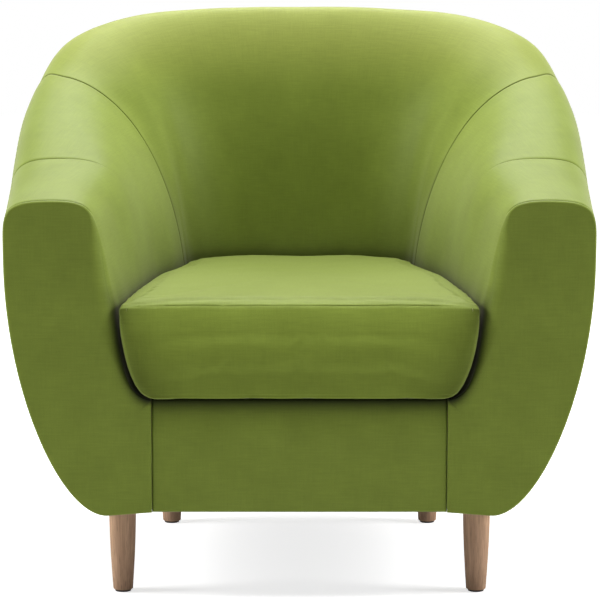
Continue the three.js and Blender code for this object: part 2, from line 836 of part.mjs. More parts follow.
// Half of the cushion's outline at a level, from the middle of its front to the middle of its rear.
function cushionHalfRing(level, inset) {
  const hold = cushionGap + inset;
  const z = wallLine(0, surfaceLayer)[level].z + cushionInsetShares[level] * inset;
  const side = gridBetween(cushionStartShare, lastIndex, cushionStepCount).map((t) => {
    const p = wallLine(t, surfaceLayer)[level];
    return p.addScaledVector(outwardAt(t), -hold).setZ(z);
  });
  const face = -frontReach - cushionProud + cushionFrontSetbacks[level] + inset;
  const corner = side[0];
  const straight = corner.x - cushionCorner;
  const front = [at(0, face, z), at(straight / 2, face, z)];
  const steps = 3;
  for (let i = 0; i < steps; i++) {
    const turn = (i / steps) * quarterTurn;
    const x = straight + cushionCorner * Math.sin(turn);
    front.push(at(x, corner.y + (face - corner.y) * Math.cos(turn), z));
  }
  return [...front, ...side];
}

function closedRing(half) {
  const left = half.slice(1, -1).reverse();
  return [...half, ...left.map((p) => at(-p.x, p.y, p.z))];
}

function cushionSolid(inset) {
  const rings = [];
  for (let level = 0; level <= seatSample; level++) rings.push(closedRing(cushionHalfRing(level, inset)));
  rings[0].forEach((p) => p.setZ(deckHeight + fit + inset));
  const seamRing = rings[seatSample];
  const middle = at(0, (seamRing[0].y + rearOf(seamRing).y) / 2, 0);
  for (const { rise, size } of cushionCrownShares) {
    const height = seatLine + rise * cushionCrown - inset;
    rings.push(seamRing.map((p) => middle.clone().lerp(p, size).setZ(height)));
  }
  return loft(rings);
}

function rearOf(ring) {
  return ring.reduce((best, p) => (p.y > best.y ? p : best));
}

function zipBlock(extra) {
  const rear = rearOf(cushionHalfRing(seatSample, 0)).y;
  const middle = (deckHeight + seatLine) / 2;
  const reach = zipWidth / 2 + extra;
  const low = at(-zipHalfLength - extra, rear - overrun, middle - reach);
  return toSolid(box(low, at(zipHalfLength + extra, rear + overrun, middle + reach)));
}

function cushionPieces() {
  const shell = toSolid(cushionSolid(0)).subtract(toSolid(cushionSolid(coverThickness)));
  addMesh("seat_cushion_cover", toGeometry(shell.subtract(zipBlock(0))), velvet);
  addMesh("seat_cushion_foam", cushionSolid(coverThickness + foamClearance), foam);
  addMesh("cushion_zip", toGeometry(shell.intersect(zipBlock(-fit))), nylon);
}

// Putting the chair together

function addUpholstery() {
  const start = stationBehindFront(facingDepth) + seam / 2 / stationSpacing(0);
  const [arm, back, middle] = [armSeamIndex, backSeamIndex, lastIndex];
  addPair("arm_facing", armFacing(), velvet);
  addPair("inside_arm", wallPanel(start, arm, 0, padEndSample), velvet);
  addPair("inside_wing", wallPanel(arm, back, 0, padEndSample), velvet);
  addMesh("inside_back", wallPanel(back, 2 * middle - back, 0, padEndSample), velvet);
  addPair("outside_arm", wallPanel(start, back, padEndSample, lastSample), velvet);
  addMesh("outside_back", wallPanel(back, 2 * middle - back, padEndSample, lastSample), velvet);
  addMesh("front_border", frontBorder(), velvet);
  addMesh("seat_deck", seatDeck(), feltDeck);
  addMesh("dust_cover", dustCover(), lining);
}

function addFrame() {
  const sideRailOuter = sideRailInner + railThickness;
  const behindPost = postBack + fit;
  addPair("front_post", frontPost(), frameWood);
  addPair("side_rib", rib(sideRibIndex), frameWood);
  addPair("wing_rib", rib(backSeamIndex), frameWood);
  addPair("back_rib", rib(backRibIndex), frameWood);
  addMesh("centre_back_rib", rib(lastIndex), frameWood);
  const railStart = stationBehindFront(behindPost + frontReach);
  addPair("arm_top_rail", topRail(railStart, backSeamIndex, 0, fit / 2), frameWood);
  const railEnd = 2 * lastIndex - backSeamIndex;
  addMesh("back_top_rail", topRail(backSeamIndex, railEnd, fit / 2, fit / 2), frameWood);

  const front = box(
    at(fit - postInner, frontRailFront, frameBase),
    at(postInner - fit, frontRailBack, railTop),
  );
  addMesh("front_rail", front, frameWood);
  const rear = box(
    at(-rearRailHalfLength, rearRailFront, sideRailBottom),
    at(rearRailHalfLength, rearRailBack, railTop),
  );
  addMesh("rear_rail", rear, frameWood);
  const side = box(
    at(sideRailInner, behindPost, sideRailBottom),
    at(sideRailOuter, rearRailFront - fit, railTop),
  );
  addPair("side_rail", side, frameWood);

  const blockTop = frameBase + blockHeight;
  const blockOuter = sideRailInner - fit;
  const frontBlock = cornerBlock(
    at(postInner, behindPost, frameBase),
    at(blockOuter, behindPost + frontBlockDepth, blockTop),
    frontLegAcross,
    frontLegAlong,
  );
  addPair("front_corner_block", frontBlock, frameWood);
  const rearBlock = cornerBlock(
    at(rearLegAcross - rearBlockReach, rearRailFront - fit - rearBlockDepth, frameBase),
    at(blockOuter, rearRailFront - fit, blockTop),
    rearLegAcross,
    rearLegAlong,
  );
  addPair("rear_corner_block", rearBlock, frameWood);
}

function addSprings() {
  springShares.forEach((share, i) => {
    const across = share * borderHalfWidth;
    const name = i ? "outer" : "inner";
    addPair(name + "_spring", spring(across), springSteel);
    addPair(name + "_spring_front_clip", springClip(across, springFront, 1), zincSteel);
    addPair(name + "_spring_rear_clip", springClip(across, springBack, -1), zincSteel);
  });
}

function addLegs() {
  for (const [place, x, y] of legPlaces) {
    addMesh("leg_" + place, leg().translate(x, y, 0), walnut);
    addMesh("leg_bolt_" + place, legBolt().translate(x, y, 0), zincSteel);
    addMesh("glide_" + place, glide().translate(x, y, 0), nylon);
  }
}

addUpholstery();
addFrame();
addSprings();
addLegs();
cushionPieces();

export default chair;
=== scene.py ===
"""A tub chair in green velvet: the looks of every piece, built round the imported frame.

The chair is one padded wall that runs from the front of one arm round the back to the other, with a loose box
cushion between its arms, over a wooden frame on four turned legs. Metres, +Z up, and the seat faces -Y.
"""

import logging
import math
from bisect import bisect_right
from dataclasses import astuple, dataclass, replace
from enum import Enum
from functools import lru_cache
from typing import Callable, ClassVar, Iterable, NamedTuple, Optional, Sequence

import bmesh
import bpy
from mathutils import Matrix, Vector, noise


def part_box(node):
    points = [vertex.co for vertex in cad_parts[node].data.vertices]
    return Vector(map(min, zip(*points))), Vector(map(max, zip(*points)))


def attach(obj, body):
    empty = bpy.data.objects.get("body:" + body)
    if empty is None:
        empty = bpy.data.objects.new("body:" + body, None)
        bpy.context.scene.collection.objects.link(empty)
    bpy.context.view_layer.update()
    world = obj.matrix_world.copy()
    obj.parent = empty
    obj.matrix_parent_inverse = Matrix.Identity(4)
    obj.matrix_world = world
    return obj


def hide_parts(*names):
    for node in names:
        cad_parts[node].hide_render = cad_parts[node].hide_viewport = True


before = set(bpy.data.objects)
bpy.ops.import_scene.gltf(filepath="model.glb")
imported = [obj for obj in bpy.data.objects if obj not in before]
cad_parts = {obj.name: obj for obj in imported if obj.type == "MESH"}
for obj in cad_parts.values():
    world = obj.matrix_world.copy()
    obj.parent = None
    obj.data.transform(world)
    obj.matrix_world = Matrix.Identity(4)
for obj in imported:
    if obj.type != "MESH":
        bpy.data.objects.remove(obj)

log = logging.getLogger("tub_chair")

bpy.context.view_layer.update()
MM = 0.001

Colour = tuple[float, float, float]
Place = Callable[[int, int], Vector]
Measure = Callable[[int, int, Vector], float]
Socket = bpy.types.NodeSocket


class Body(Enum):
    """The bodies of the frame that pieces ride on."""

    CHAIR = "chair"
    CUSHION = "cushion"


class Slot(Enum):
    """The record's material slots that the new pieces use."""

    VELVET = "velvet"
    DECK_CLOTH = "deck_cloth"
    LINING = "lining"
    FOAM = "foam"
    ZIP = "zip"
    WALNUT = "walnut"
    GLIDE_NYLON = "glide_nylon"


@dataclass(frozen=True)
class ChairSizes:
    """The chair's driving sizes, in metres."""

    front_width: float = 0.860
    arm_thickness: float = 0.144
    front_reach: float = 0.385
    back_reach: float = 0.332
    arm_height: float = 0.593
    back_height: float = 0.845
    rim_overhang: float = 0.072
    widest_drop: float = 0.084
    outer_shoulder: float = 0.019
    bottom_tuck: float = 0.075
    tuck_radius: float = 0.066
    inside_slope: float = 0.188
    base_height: float = 0.1285
    seat_line: float = 0.440
    deck_height: float = 0.302
    deck_thickness: float = 0.012
    border_inset: float = 0.1415
    border_lift: float = 0.005
    border_setback: float = 0.0023
    side_padding: float = 0.038
    top_padding: float = 0.028
    skin_thickness: float = 0.009
    facing_depth: float = 0.010
    crown_shift: float = 0.008
    seam: float = 0.0003

    @property
    def rim_across(self) -> float:
        """Distance from the middle plane to the middle of the front rim."""
        return (self.front_width - self.arm_thickness) / 2

    @property
    def border_half_width(self) -> float:
        """Half the width of the front border between the arm facings."""
        return self.rim_across - self.border_inset


@dataclass(frozen=True)
class StationShares:
    """The wall's shape at one station, as shares of the sizes that each follows.

    across: of the front rim's distance from the middle. along: from the arm front to the back crown. turn: of a
    quarter turn. rise: from arm height to back height. slope: of the inside slope. roll and fullness: of that
    slope, at the rim and at the shoulder. shoulder: of the height above the seat line. flare: of the front's
    flare under the cushion. crown and edge: of the rim overhang.
    """

    across: float
    along: float
    turn: float
    rise: float
    slope: float
    roll: float
    fullness: float
    shoulder: float
    flare: float
    crown: float
    edge: float

# From the front of the right arm to the middle of the back
STATION_SHARES = (
    StationShares(1.000, 0.000, 0.000, 0.000, 0.480, 0.920, 0.56, 0.800, 1.00, 0.00, 1.11),
    StationShares(1.017, 0.157, 0.000, 0.068, 0.580, 0.760, 0.76, 0.770, 1.00, 0.00, 0.99),
    StationShares(1.030, 0.297, 0.011, 0.171, 0.676, 0.787, 0.85, 0.850, 0.95, 0.00, 0.87),
    StationShares(1.041, 0.465, 0.033, 0.328, 0.787, 0.660, 0.90, 0.700, 0.75, 0.07, 0.85),
    StationShares(1.041, 0.610, 0.085, 0.470, 0.915, 0.520, 0.90, 0.580, 0.50, 0.14, 0.84),
    StationShares(1.014, 0.738, 0.178, 0.620, 0.987, 0.430, 0.89, 0.533, 0.40, 0.20, 0.83),
    StationShares(0.947, 0.860, 0.367, 0.820, 0.995, 0.420, 0.85, 0.530, 0.36, 0.17, 0.80),
    StationShares(0.730, 0.946, 0.578, 0.946, 0.846, 0.420, 0.68, 0.530, 0.34, 0.10, 0.75),
    StationShares(0.390, 0.988, 0.800, 0.991, 0.670, 0.440, 0.50, 0.520, 0.32, 0.05, 0.70),
    StationShares(0.000, 1.000, 1.000, 1.000, 0.680, 0.436, 0.42, 0.520, 0.32, 0.00, 0.67),
)
STATION_ROWS = tuple(astuple(station) for station in STATION_SHARES)
LAST_STATION = len(STATION_ROWS) - 1
ARM_SEAM_STATION = 2.0
BACK_SEAM_STATION = 5.0
BACK_SEAM_SWING = 0.24
BACK_SEAM_LAG = 0.19
FACING_SOFT_RADIUS = 0.022
FACING_WEAR = 0.0042
# The darkest painted shade, as the share of colour it takes away
MOST_PAINTED_SHADE = 0.97


@dataclass(frozen=True)
class Layer:
    """How deep a layer lies under the wall's surface, in metres."""

    side: float = 0.0
    top: float = 0.0
    skin: float = 0.0
    shift: float = 0.0
    foot: float = 0.0
    flare_share: float = 1.0


class Bend(Enum):
    """Shares that shape the wall's section."""

    FLARE_HOLD = 0.4
    FLARE_LEAN = 0.085
    FLARE_HEIGHT = 0.5
    ROLL_INSET = 0.65
    SHOULDER_INSET = 0.7
    OUTSIDE_HOLD = 0.524


class SectionMark(Enum):
    """Where along the section its stretches meet: one unit for each curve."""

    DECK = 0.0
    CROWN = 2.0
    SKIN_SEAM = 2.75
    BASE = 4.0


Corners = tuple[Vector, Vector, Vector, Vector]


def eased(share: float) -> float:
    """A smooth step from nought to one as the share goes from nought to one."""
    held = min(max(share, 0.0), 1.0)
    return held * held * (3 - 2 * held)


def between(low: float, high: float, share: float) -> float:
    """The value at a share of the way from low to high."""
    return low + (high - low) * share


def spread(low: float, high: float, count: int) -> list[float]:
    """Evenly spaced values from low to high, both included."""
    return [between(low, high, i / (count - 1)) for i in range(count)]


@dataclass(frozen=True)
class Ramp:
    """A smooth change between two places on a line: from one value at its start to another at its end."""

    start: float
    end: float
    low: float = 0.0
    high: float = 1.0

    def at(self, place: float) -> float:
        """The value at a place, which stays the same past either end."""
        return between(self.low, self.high, eased((place - self.start) / (self.end - self.start)))


def hump(share: float) -> float:
    """One at nought, falling smoothly to nought where the share reaches one on either side."""
    return math.cos(min(1.0, abs(share)) * math.pi / 2) ** 2


def spline(a: float, b: float, c: float, d: float, share: float) -> float:
    """A smooth value between b and c, with a and d as their neighbours."""
    square, cube = share**2, share**3
    parts = (
        a * (2 * square - share - cube),
        b * (2 - 5 * square + 3 * cube),
        c * (share + 4 * square - 3 * cube),
        d * (cube - square),
    )
    return sum(parts) / 2


def halved(rounds: int, short: Callable[[float], bool]) -> float:
    """Finds a share by halving.

    Args:
        rounds: How often the range from nought to one is halved.
        short: Says whether a share is still too small.

    Returns:
        The share.
    """
    low, high = 0.0, 1.0
    for _ in range(rounds):
        middle = (low + high) / 2
        if short(middle):
            low = middle
        else:
            high = middle
    return (low + high) / 2


def bezier(corners: Corners, share: float) -> Vector:
    """The point of a cubic curve at a share of its length."""
    a, b, c, d = corners
    rest = 1 - share
    return a * rest**3 + b * (3 * rest**2 * share) + c * (3 * rest * share**2) + d * share**3


@dataclass(frozen=True)
class CornerEase:
    """How the inside is drawn out at the rear corner, so that it bends in one sweep from wing to back.

    station: where it is drawn out most. before and after: the stations over which it fades. reach: how far, in
    metres. foot and top: where along the section it starts and ends.
    """

    station: float = 5.15
    before: float = 1.25
    after: float = 1.2
    reach: float = 0.0042
    foot: Ramp = Ramp(0.4, 0.8)
    top: Ramp = Ramp(1.55, 0.95)

    def at(self, t: float, v: float) -> float:
        """How far out, in metres, at a place on the wall."""
        away = (t - self.station) / (self.before if t < self.station else self.after)
        return self.reach * hump(away) * self.foot.at(v) * self.top.at(v)


CORNER_EASE = CornerEase()


@dataclass(frozen=True)
class Wall:
    """The padded wall as one smooth surface, from the right arm's front over the back to the left arm's."""

    sizes: ChairSizes = ChairSizes()

    @property
    def padding_back(self) -> Layer:
        """The back of the padding, where it lies on the frame."""
        s = self.sizes
        return Layer(s.side_padding, s.top_padding, s.skin_thickness, s.crown_shift, s.deck_thickness, 0.0)

    def row(self, index: int) -> tuple[float, ...]:
        """The shares of a station, also of the ones just before the first and after the last.

        Args:
            index: The station's number.

        Returns:
            The shares in the order of StationShares.
        """
        if index < 0:
            return tuple(2 * a - b for a, b in zip(STATION_ROWS[0], STATION_ROWS[1]))
        if index <= LAST_STATION:
            return STATION_ROWS[index]
        twin = STATION_ROWS[2 * LAST_STATION - index]
        return (-twin[0], twin[1], 2 - twin[2], *twin[3:])

    @lru_cache(maxsize=4096)
    def shares_at(self, t: float) -> StationShares:
        """The smooth shares at any place along the right half of the wall."""
        low = min(int(t), LAST_STATION - 1)
        rows = [self.row(i) for i in range(low - 1, low + 3)]
        return StationShares(*(spline(*column, t - low) for column in zip(*rows)))

    @lru_cache(maxsize=4096)
    def section(self, t: float, layer: Layer) -> tuple[Corners, ...]:
        """The section's four curves at a place along the wall, as distance out from the rim's middle and height.

        Args:
            t: The place along the wall, in stations, on its right half.
            layer: How deep under the surface.

        Returns:
            The corners of the curves from the deck to the seat line, the crown, the widest place and the base.
        """
        s, shares = self.sizes, self.shares_at(t)
        height = s.arm_height + shares.rise * (s.back_height - s.arm_height)
        slope = shares.slope * s.inside_slope
        top = height - layer.top
        crown = shares.crown * s.rim_overhang + layer.shift
        inner = layer.side - slope
        front_slope = STATION_SHARES[0].slope * s.inside_slope
        flare = shares.flare * (s.border_inset - front_slope) * layer.flare_share
        foot = s.deck_height - layer.foot
        outer = s.rim_overhang - layer.skin
        widest = height - s.widest_drop
        base = s.base_height + layer.skin
        edge = shares.edge * s.rim_overhang - layer.top * Bend.SHOULDER_INSET.value
        shoulder = s.seat_line + shares.shoulder * (height - s.seat_line) - layer.top * Bend.SHOULDER_INSET.value
        roll = crown - shares.roll * slope + layer.side * Bend.ROLL_INSET.value
        lean = foot + Bend.FLARE_HEIGHT.value * (s.seat_line - foot)
        hold = widest - Bend.OUTSIDE_HOLD.value * (widest - base)
        outlines = (
            (
                (inner - flare, foot),
                (inner - flare * Bend.FLARE_HOLD.value, foot),
                (inner - flare * Bend.FLARE_LEAN.value, lean),
                (inner, s.seat_line),
            ),
            (
                (inner, s.seat_line),
                (layer.side - shares.fullness * slope, shoulder),
                (roll, top),
                (crown, top),
            ),
            ((crown, top), (edge, top), (outer, top - s.outer_shoulder), (outer, widest)),
            ((outer, widest), (outer, hold), (s.tuck_radius - s.bottom_tuck, base), (-s.bottom_tuck, base)),
        )
        return tuple(tuple(Vector(p) for p in outline) for outline in outlines)

    def outward(self, t: float) -> Vector:
        """The level direction out of the wall at a place along it."""
        left = t > LAST_STATION
        angle = self.shares_at(2 * LAST_STATION - t if left else t).turn * math.pi / 2
        return Vector((math.cos(angle) * (-1 if left else 1), math.sin(angle), 0))

    def point(self, t: float, v: float, layer: Optional[Layer] = None) -> Vector:
        """A point of the wall.

        Args:
            t: The place along the wall, in stations, up to twice the last one on the left arm's front.
            v: The place along the section, as SectionMark counts it.
            layer: How deep under the surface, or None on it.

        Returns:
            The point in the chair's frame.
        """
        if t > LAST_STATION:
            mirrored = self.point(2 * LAST_STATION - t, v, layer)
            return Vector((-mirrored.x, mirrored.y, mirrored.z))
        s, shares = self.sizes, self.shares_at(t)
        curve = min(int(v), 3)
        flat = bezier(self.section(t, layer or Layer())[curve], v - curve)
        if layer is None:
            flat.x += CORNER_EASE.at(t, v)
        middle_x = shares.across * s.rim_across
        middle_y = shares.along * (s.front_reach + s.back_reach) - s.front_reach
        out = self.outward(t)
        return Vector((middle_x + out.x * flat.x, middle_y + out.y * flat.x, flat.y))

    def station_behind_front(self, distance: float) -> float:
        """The place along the wall whose middle lies a distance behind the front of the arm."""
        crown = SectionMark.CROWN.value
        return halved(40, lambda t: self.point(t, crown).y + self.sizes.front_reach < distance)


class Ruler:
    """Measures a line of points, so that a place on it is found by its distance from the start."""

    def __init__(self, keys: Sequence[float], points: Sequence[Vector]) -> None:
        """Args:
            keys: The parameter of each point.
            points: The points of the line, close together.
        """
        self.keys = list(keys)
        self.marks = [0.0]
        for a, b in zip(points, points[1:]):
            self.marks.append(self.marks[-1] + (b - a).length)

    @property
    def length(self) -> float:
        """The whole length of the line."""
        return self.marks[-1]

    def key_at(self, distance: float) -> float:
        """The parameter at a distance from the start.

        Args:
            distance: Along the line, in metres.

        Returns:
            The parameter between the two points on either side.
        """
        high = min(max(bisect_right(self.marks, distance), 1), len(self.marks) - 1)
        low = high - 1
        step = self.marks[high] - self.marks[low]
        share = (distance - self.marks[low]) / step if step else 0.0
        return between(self.keys[low], self.keys[high], min(max(share, 0.0), 1.0))


@dataclass(frozen=True)
class SeamRows:
    """Where the rows of a pad's mesh lie: close together at its seams and even between them."""

    near: tuple[float, ...] = (0.0, 0.0006, 0.0014, 0.0026, 0.0042, 0.0064, 0.0094, 0.0134, 0.019)
    spacing: float = 0.0068

    def count(self, length: float, low: bool, high: bool) -> int:
        """How many even steps fit between the close rows of a line of that length."""
        inner = length - (self.near[-1] if low else 0) - (self.near[-1] if high else 0)
        return max(2, round(inner / self.spacing))

    def places(self, length: float, steps: int, low: bool, high: bool) -> list[float]:
        """The rows' distances from the start of a line.

        Args:
            length: The line's length, in metres.
            steps: How many even steps lie between the close rows.
            low: True where the line starts at a seam.
            high: True where it ends at one.

        Returns:
            The distances, from nought to the length.
        """
        start = list(self.near) if low else [0.0]
        end = [length - d for d in reversed(self.near)] if high else [length]
        return start + spread(start[-1], end[0], steps + 1)[1:-1] + end


SEAM_ROWS = SeamRows()


def finished_object(
    name: str, bm: bmesh.types.BMesh, smooth: bool = True, sharpness: Optional[float] = None
) -> bpy.types.Object:
    """Makes an object of a mesh that is in its place.

    Args:
        name: The piece's name.
        bm: The mesh, which is freed.
        smooth: True to shade it smoothly.
        sharpness: The angle in degrees past which an edge stays crisp, or None for none.

    Returns:
        The object, at the origin, unturned and unscaled.
    """
    bmesh.ops.recalc_face_normals(bm, faces=bm.faces)
    for face in bm.faces:
        face.smooth = smooth
    if sharpness is not None:
        for edge in bm.edges:
            edge.smooth = edge.calc_face_angle(0.0) < math.radians(sharpness)
    mesh = bpy.data.meshes.new(name)
    bm.to_mesh(mesh)
    bm.free()
    piece = bpy.data.objects.new(name, mesh)
    bpy.context.scene.collection.objects.link(piece)
    return piece


def mirrored_copy(piece: bpy.types.Object, name: str) -> bpy.types.Object:
    """Makes the left-hand twin of a right-hand piece.

    Args:
        piece: The finished right-hand piece.
        name: The twin's name.

    Returns:
        The twin, with its faces pointing out.
    """
    bm = bmesh.new()
    bm.from_mesh(piece.data)
    bmesh.ops.scale(bm, vec=(-1, 1, 1), verts=bm.verts)
    bmesh.ops.reverse_faces(bm, faces=bm.faces)
    twin = finished_object(name, bm, sharpness=50)
    for material in piece.data.materials:
        twin.data.materials.append(material)
    return twin


def grid_mesh(columns: int, rows: int, place: Place) -> bmesh.types.BMesh:
    """A grid whose points are moved to their places.

    Args:
        columns: How many points along its first direction.
        rows: How many along its second.
        place: Gives the place of a column and a row.

    Returns:
        The mesh, with each point's number kept in the layer named cell.
    """
    bm = bmesh.new()
    cell = bm.verts.layers.int.new("cell")
    bmesh.ops.create_grid(bm, x_segments=columns - 1, y_segments=rows - 1, size=1)
    for vert in bm.verts:
        column = round((vert.co.x + 1) / 2 * (columns - 1))
        line = round((vert.co.y + 1) / 2 * (rows - 1))
        vert[cell] = line * columns + column
        vert.co = place(column, line)
    return bm


def lofted_rings(
    rings: Sequence[Sequence[Vector]],
    closed: bool = True,
    painted_shades: Optional[Sequence[Sequence[float]]] = None,
) -> bmesh.types.BMesh:
    """A closed mesh through rings of as many points each.

    Args:
        rings: The rings from one end to the other.
        closed: True to close both ends with a flat face.
        painted_shades: How much painted shade darkens each point's colour, or None where there is none.

    Returns:
        The mesh.
    """
    bm = bmesh.new()
    count = len(rings[0])
    shade_share = bm.verts.layers.float.new("crease")
    values = painted_shades or [[0.0] * count] * len(rings)
    made = bmesh.ops.create_circle(bm, segments=count, radius=1, cap_ends=False)
    line = made["verts"]
    for vert, co, value in zip(line, rings[0], values[0]):
        vert.co, vert[shade_share] = co, value
    edges = list(bm.edges)
    if closed:
        bmesh.ops.edgeloop_fill(bm, edges=edges)
    for ring, row in zip(rings[1:], values[1:]):
        grown = bmesh.ops.extrude_edge_only(bm, edges=edges)["geom"]
        edges = [g for g in grown if isinstance(g, bmesh.types.BMEdge)]
        fresh = {g for g in grown if isinstance(g, bmesh.types.BMVert)}
        line = [next(o for e in v.link_edges if (o := e.other_vert(v)) in fresh) for v in line]
        for vert, co, value in zip(line, ring, row):
            vert.co, vert[shade_share] = co, value
    if closed:
        bmesh.ops.edgeloop_fill(bm, edges=edges)
    return bm


def spun_profile(profile: Sequence[tuple[float, float]], centre: Vector, steps: int) -> bmesh.types.BMesh:
    """A turned solid round an upright axis.

    Args:
        profile: Its outline as radius and height, from axis to axis.
        centre: Where the axis stands.
        steps: How many steps make the full turn.

    Returns:
        The mesh.
    """
    bm = bmesh.new()
    line = [bm.verts.new((centre.x + r, centre.y, z)) for r, z in profile]
    edges = [bm.edges.new(pair) for pair in zip(line, line[1:])]
    bmesh.ops.spin(
        bm, geom=line + edges, cent=centre, axis=(0, 0, 1), angle=2 * math.pi, steps=steps, use_merge=True
    )
    bmesh.ops.remove_doubles(bm, verts=bm.verts, dist=0.01 * MM)
    return bm


def weave_uv(bm: bmesh.types.BMesh, lay: Callable[[bmesh.types.BMLoop], tuple[float, float]]) -> None:
    """Lays the cloth on a mesh, in metres of cloth.

    Args:
        bm: The mesh.
        lay: Gives a corner's place on the cloth.
    """
    uv = bm.loops.layers.uv.new("weave")
    for face in bm.faces:
        for loop in face.loops:
            loop[uv].uv = lay(loop)


def boxed_lay(loop: bmesh.types.BMLoop) -> tuple[float, float]:
    """A corner's place on cloth that is laid flat on the nearest of the three directions."""
    normal, co = loop.face.normal, loop.vert.co
    x, y, z = (abs(c) for c in normal)
    if z >= x and z >= y:
        return co.x, co.y
    if y >= x:
        return co.x, co.z
    return co.y, co.z


def seam_dip(distance: float, width: float, depth: float) -> float:
    """How far a rolled edge lies below its pad.

    Args:
        distance: From the seam, in metres.
        width: How wide the roll is.
        depth: How deep it ends.

    Returns:
        The depth there, which is nought past the roll.
    """
    if distance >= width:
        return 0.0
    share = 1 - distance / width
    return depth * (1 - math.sqrt(max(0.0, 1 - share**2)))


def unevenness(point: Vector, size: float, seed: float) -> float:
    """A smooth value from about -1 to 1 that changes over a distance of that size."""
    return noise.noise(point / size + Vector((seed, seed, seed)))


class NodeCanvas:
    """Adds and links the nodes of one material."""

    def __init__(self, name: str) -> None:
        """Args:
            name: The material's name.
        """
        self.material = bpy.data.materials.new(name)
        self.material.use_nodes = True
        self.tree = self.material.node_tree
        self.shader = self.tree.nodes["Principled BSDF"]

    def add(self, kind: str, inputs: Optional[dict] = None, **settings: object) -> bpy.types.Node:
        """Adds a node.

        Args:
            kind: The node's type.
            inputs: Values or sockets for its inputs, by name or number.
            settings: Its other settings.

        Returns:
            The node.
        """
        node = self.tree.nodes.new(kind)
        for key, value in settings.items():
            setattr(node, key, value)
        for key, value in (inputs or {}).items():
            self.feed(node.inputs[key], value)
        return node

    def feed(self, socket: Socket, value: object) -> None:
        """Links or sets one input."""
        if isinstance(value, Socket):
            self.tree.links.new(value, socket)
        else:
            socket.default_value = value

    def set(self, **values: object) -> None:
        """Sets or links inputs of the shader, by name with _ for a space."""
        for key, value in values.items():
            self.feed(self.shader.inputs[key.replace("_", " ")], value)

    def place(self) -> Socket:
        """Each point's place in the chair's frame."""
        return self.add("ShaderNodeTexCoord").outputs["Object"]

    def mapped(self, source: Socket, scale: Sequence[float]) -> Socket:
        """The source's places, scaled along each direction."""
        return self.add("ShaderNodeMapping", {"Vector": source, "Scale": scale}).outputs["Vector"]

    def noise(self, source: Socket, scale: float, detail: float = 2.0, roughness: float = 0.5) -> Socket:
        """A noise value over the source's places."""
        inputs = {"Vector": source, "Scale": scale, "Detail": detail, "Roughness": roughness}
        return self.add("ShaderNodeTexNoise", inputs).outputs["Fac"]

    def ramp(
        self, value: Socket, low: float, high: float, to_low: float, to_high: float, kind: str = "LINEAR"
    ) -> Socket:
        """The value with its range moved from low and high to two others, evenly or by a smooth step."""
        inputs = {"Value": value, "From Min": low, "From Max": high, "To Min": to_low, "To Max": to_high}
        return self.add("ShaderNodeMapRange", inputs, interpolation_type=kind).outputs["Result"]

    def math(self, operation: str, a: object, b: object) -> Socket:
        """One sum of two values."""
        return self.add("ShaderNodeMath", {0: a, 1: b}, operation=operation).outputs[0]

    def mix(self, share: object, a: object, b: object) -> Socket:
        """A colour between a and b."""
        node = self.add("ShaderNodeMix", data_type="RGBA")
        self.feed(node.inputs["Factor"], share)
        self.feed(node.inputs[6], (*a, 1) if isinstance(a, tuple) else a)
        self.feed(node.inputs[7], (*b, 1) if isinstance(b, tuple) else b)
        return node.outputs[2]

    def scaled(self, colour: Socket, value: Socket) -> Socket:
        """A colour made lighter or darker by a value."""
        hsv = self.add("ShaderNodeHueSaturation", {"Color": colour, "Value": value})
        return hsv.outputs["Color"]

    def toned(self, colour: Colour, value: Socket) -> Socket:
        """A plain colour made lighter or darker by a value."""
        return self.scaled(self.mix(0.0, colour, colour), value)

    def bump(self, height: Socket, distance: float, strength: float = 1.0) -> None:
        """Gives the shader a relief of that height in metres."""
        inputs = {"Height": height, "Distance": distance, "Strength": strength}
        self.set(Normal=self.add("ShaderNodeBump", inputs).outputs["Normal"])


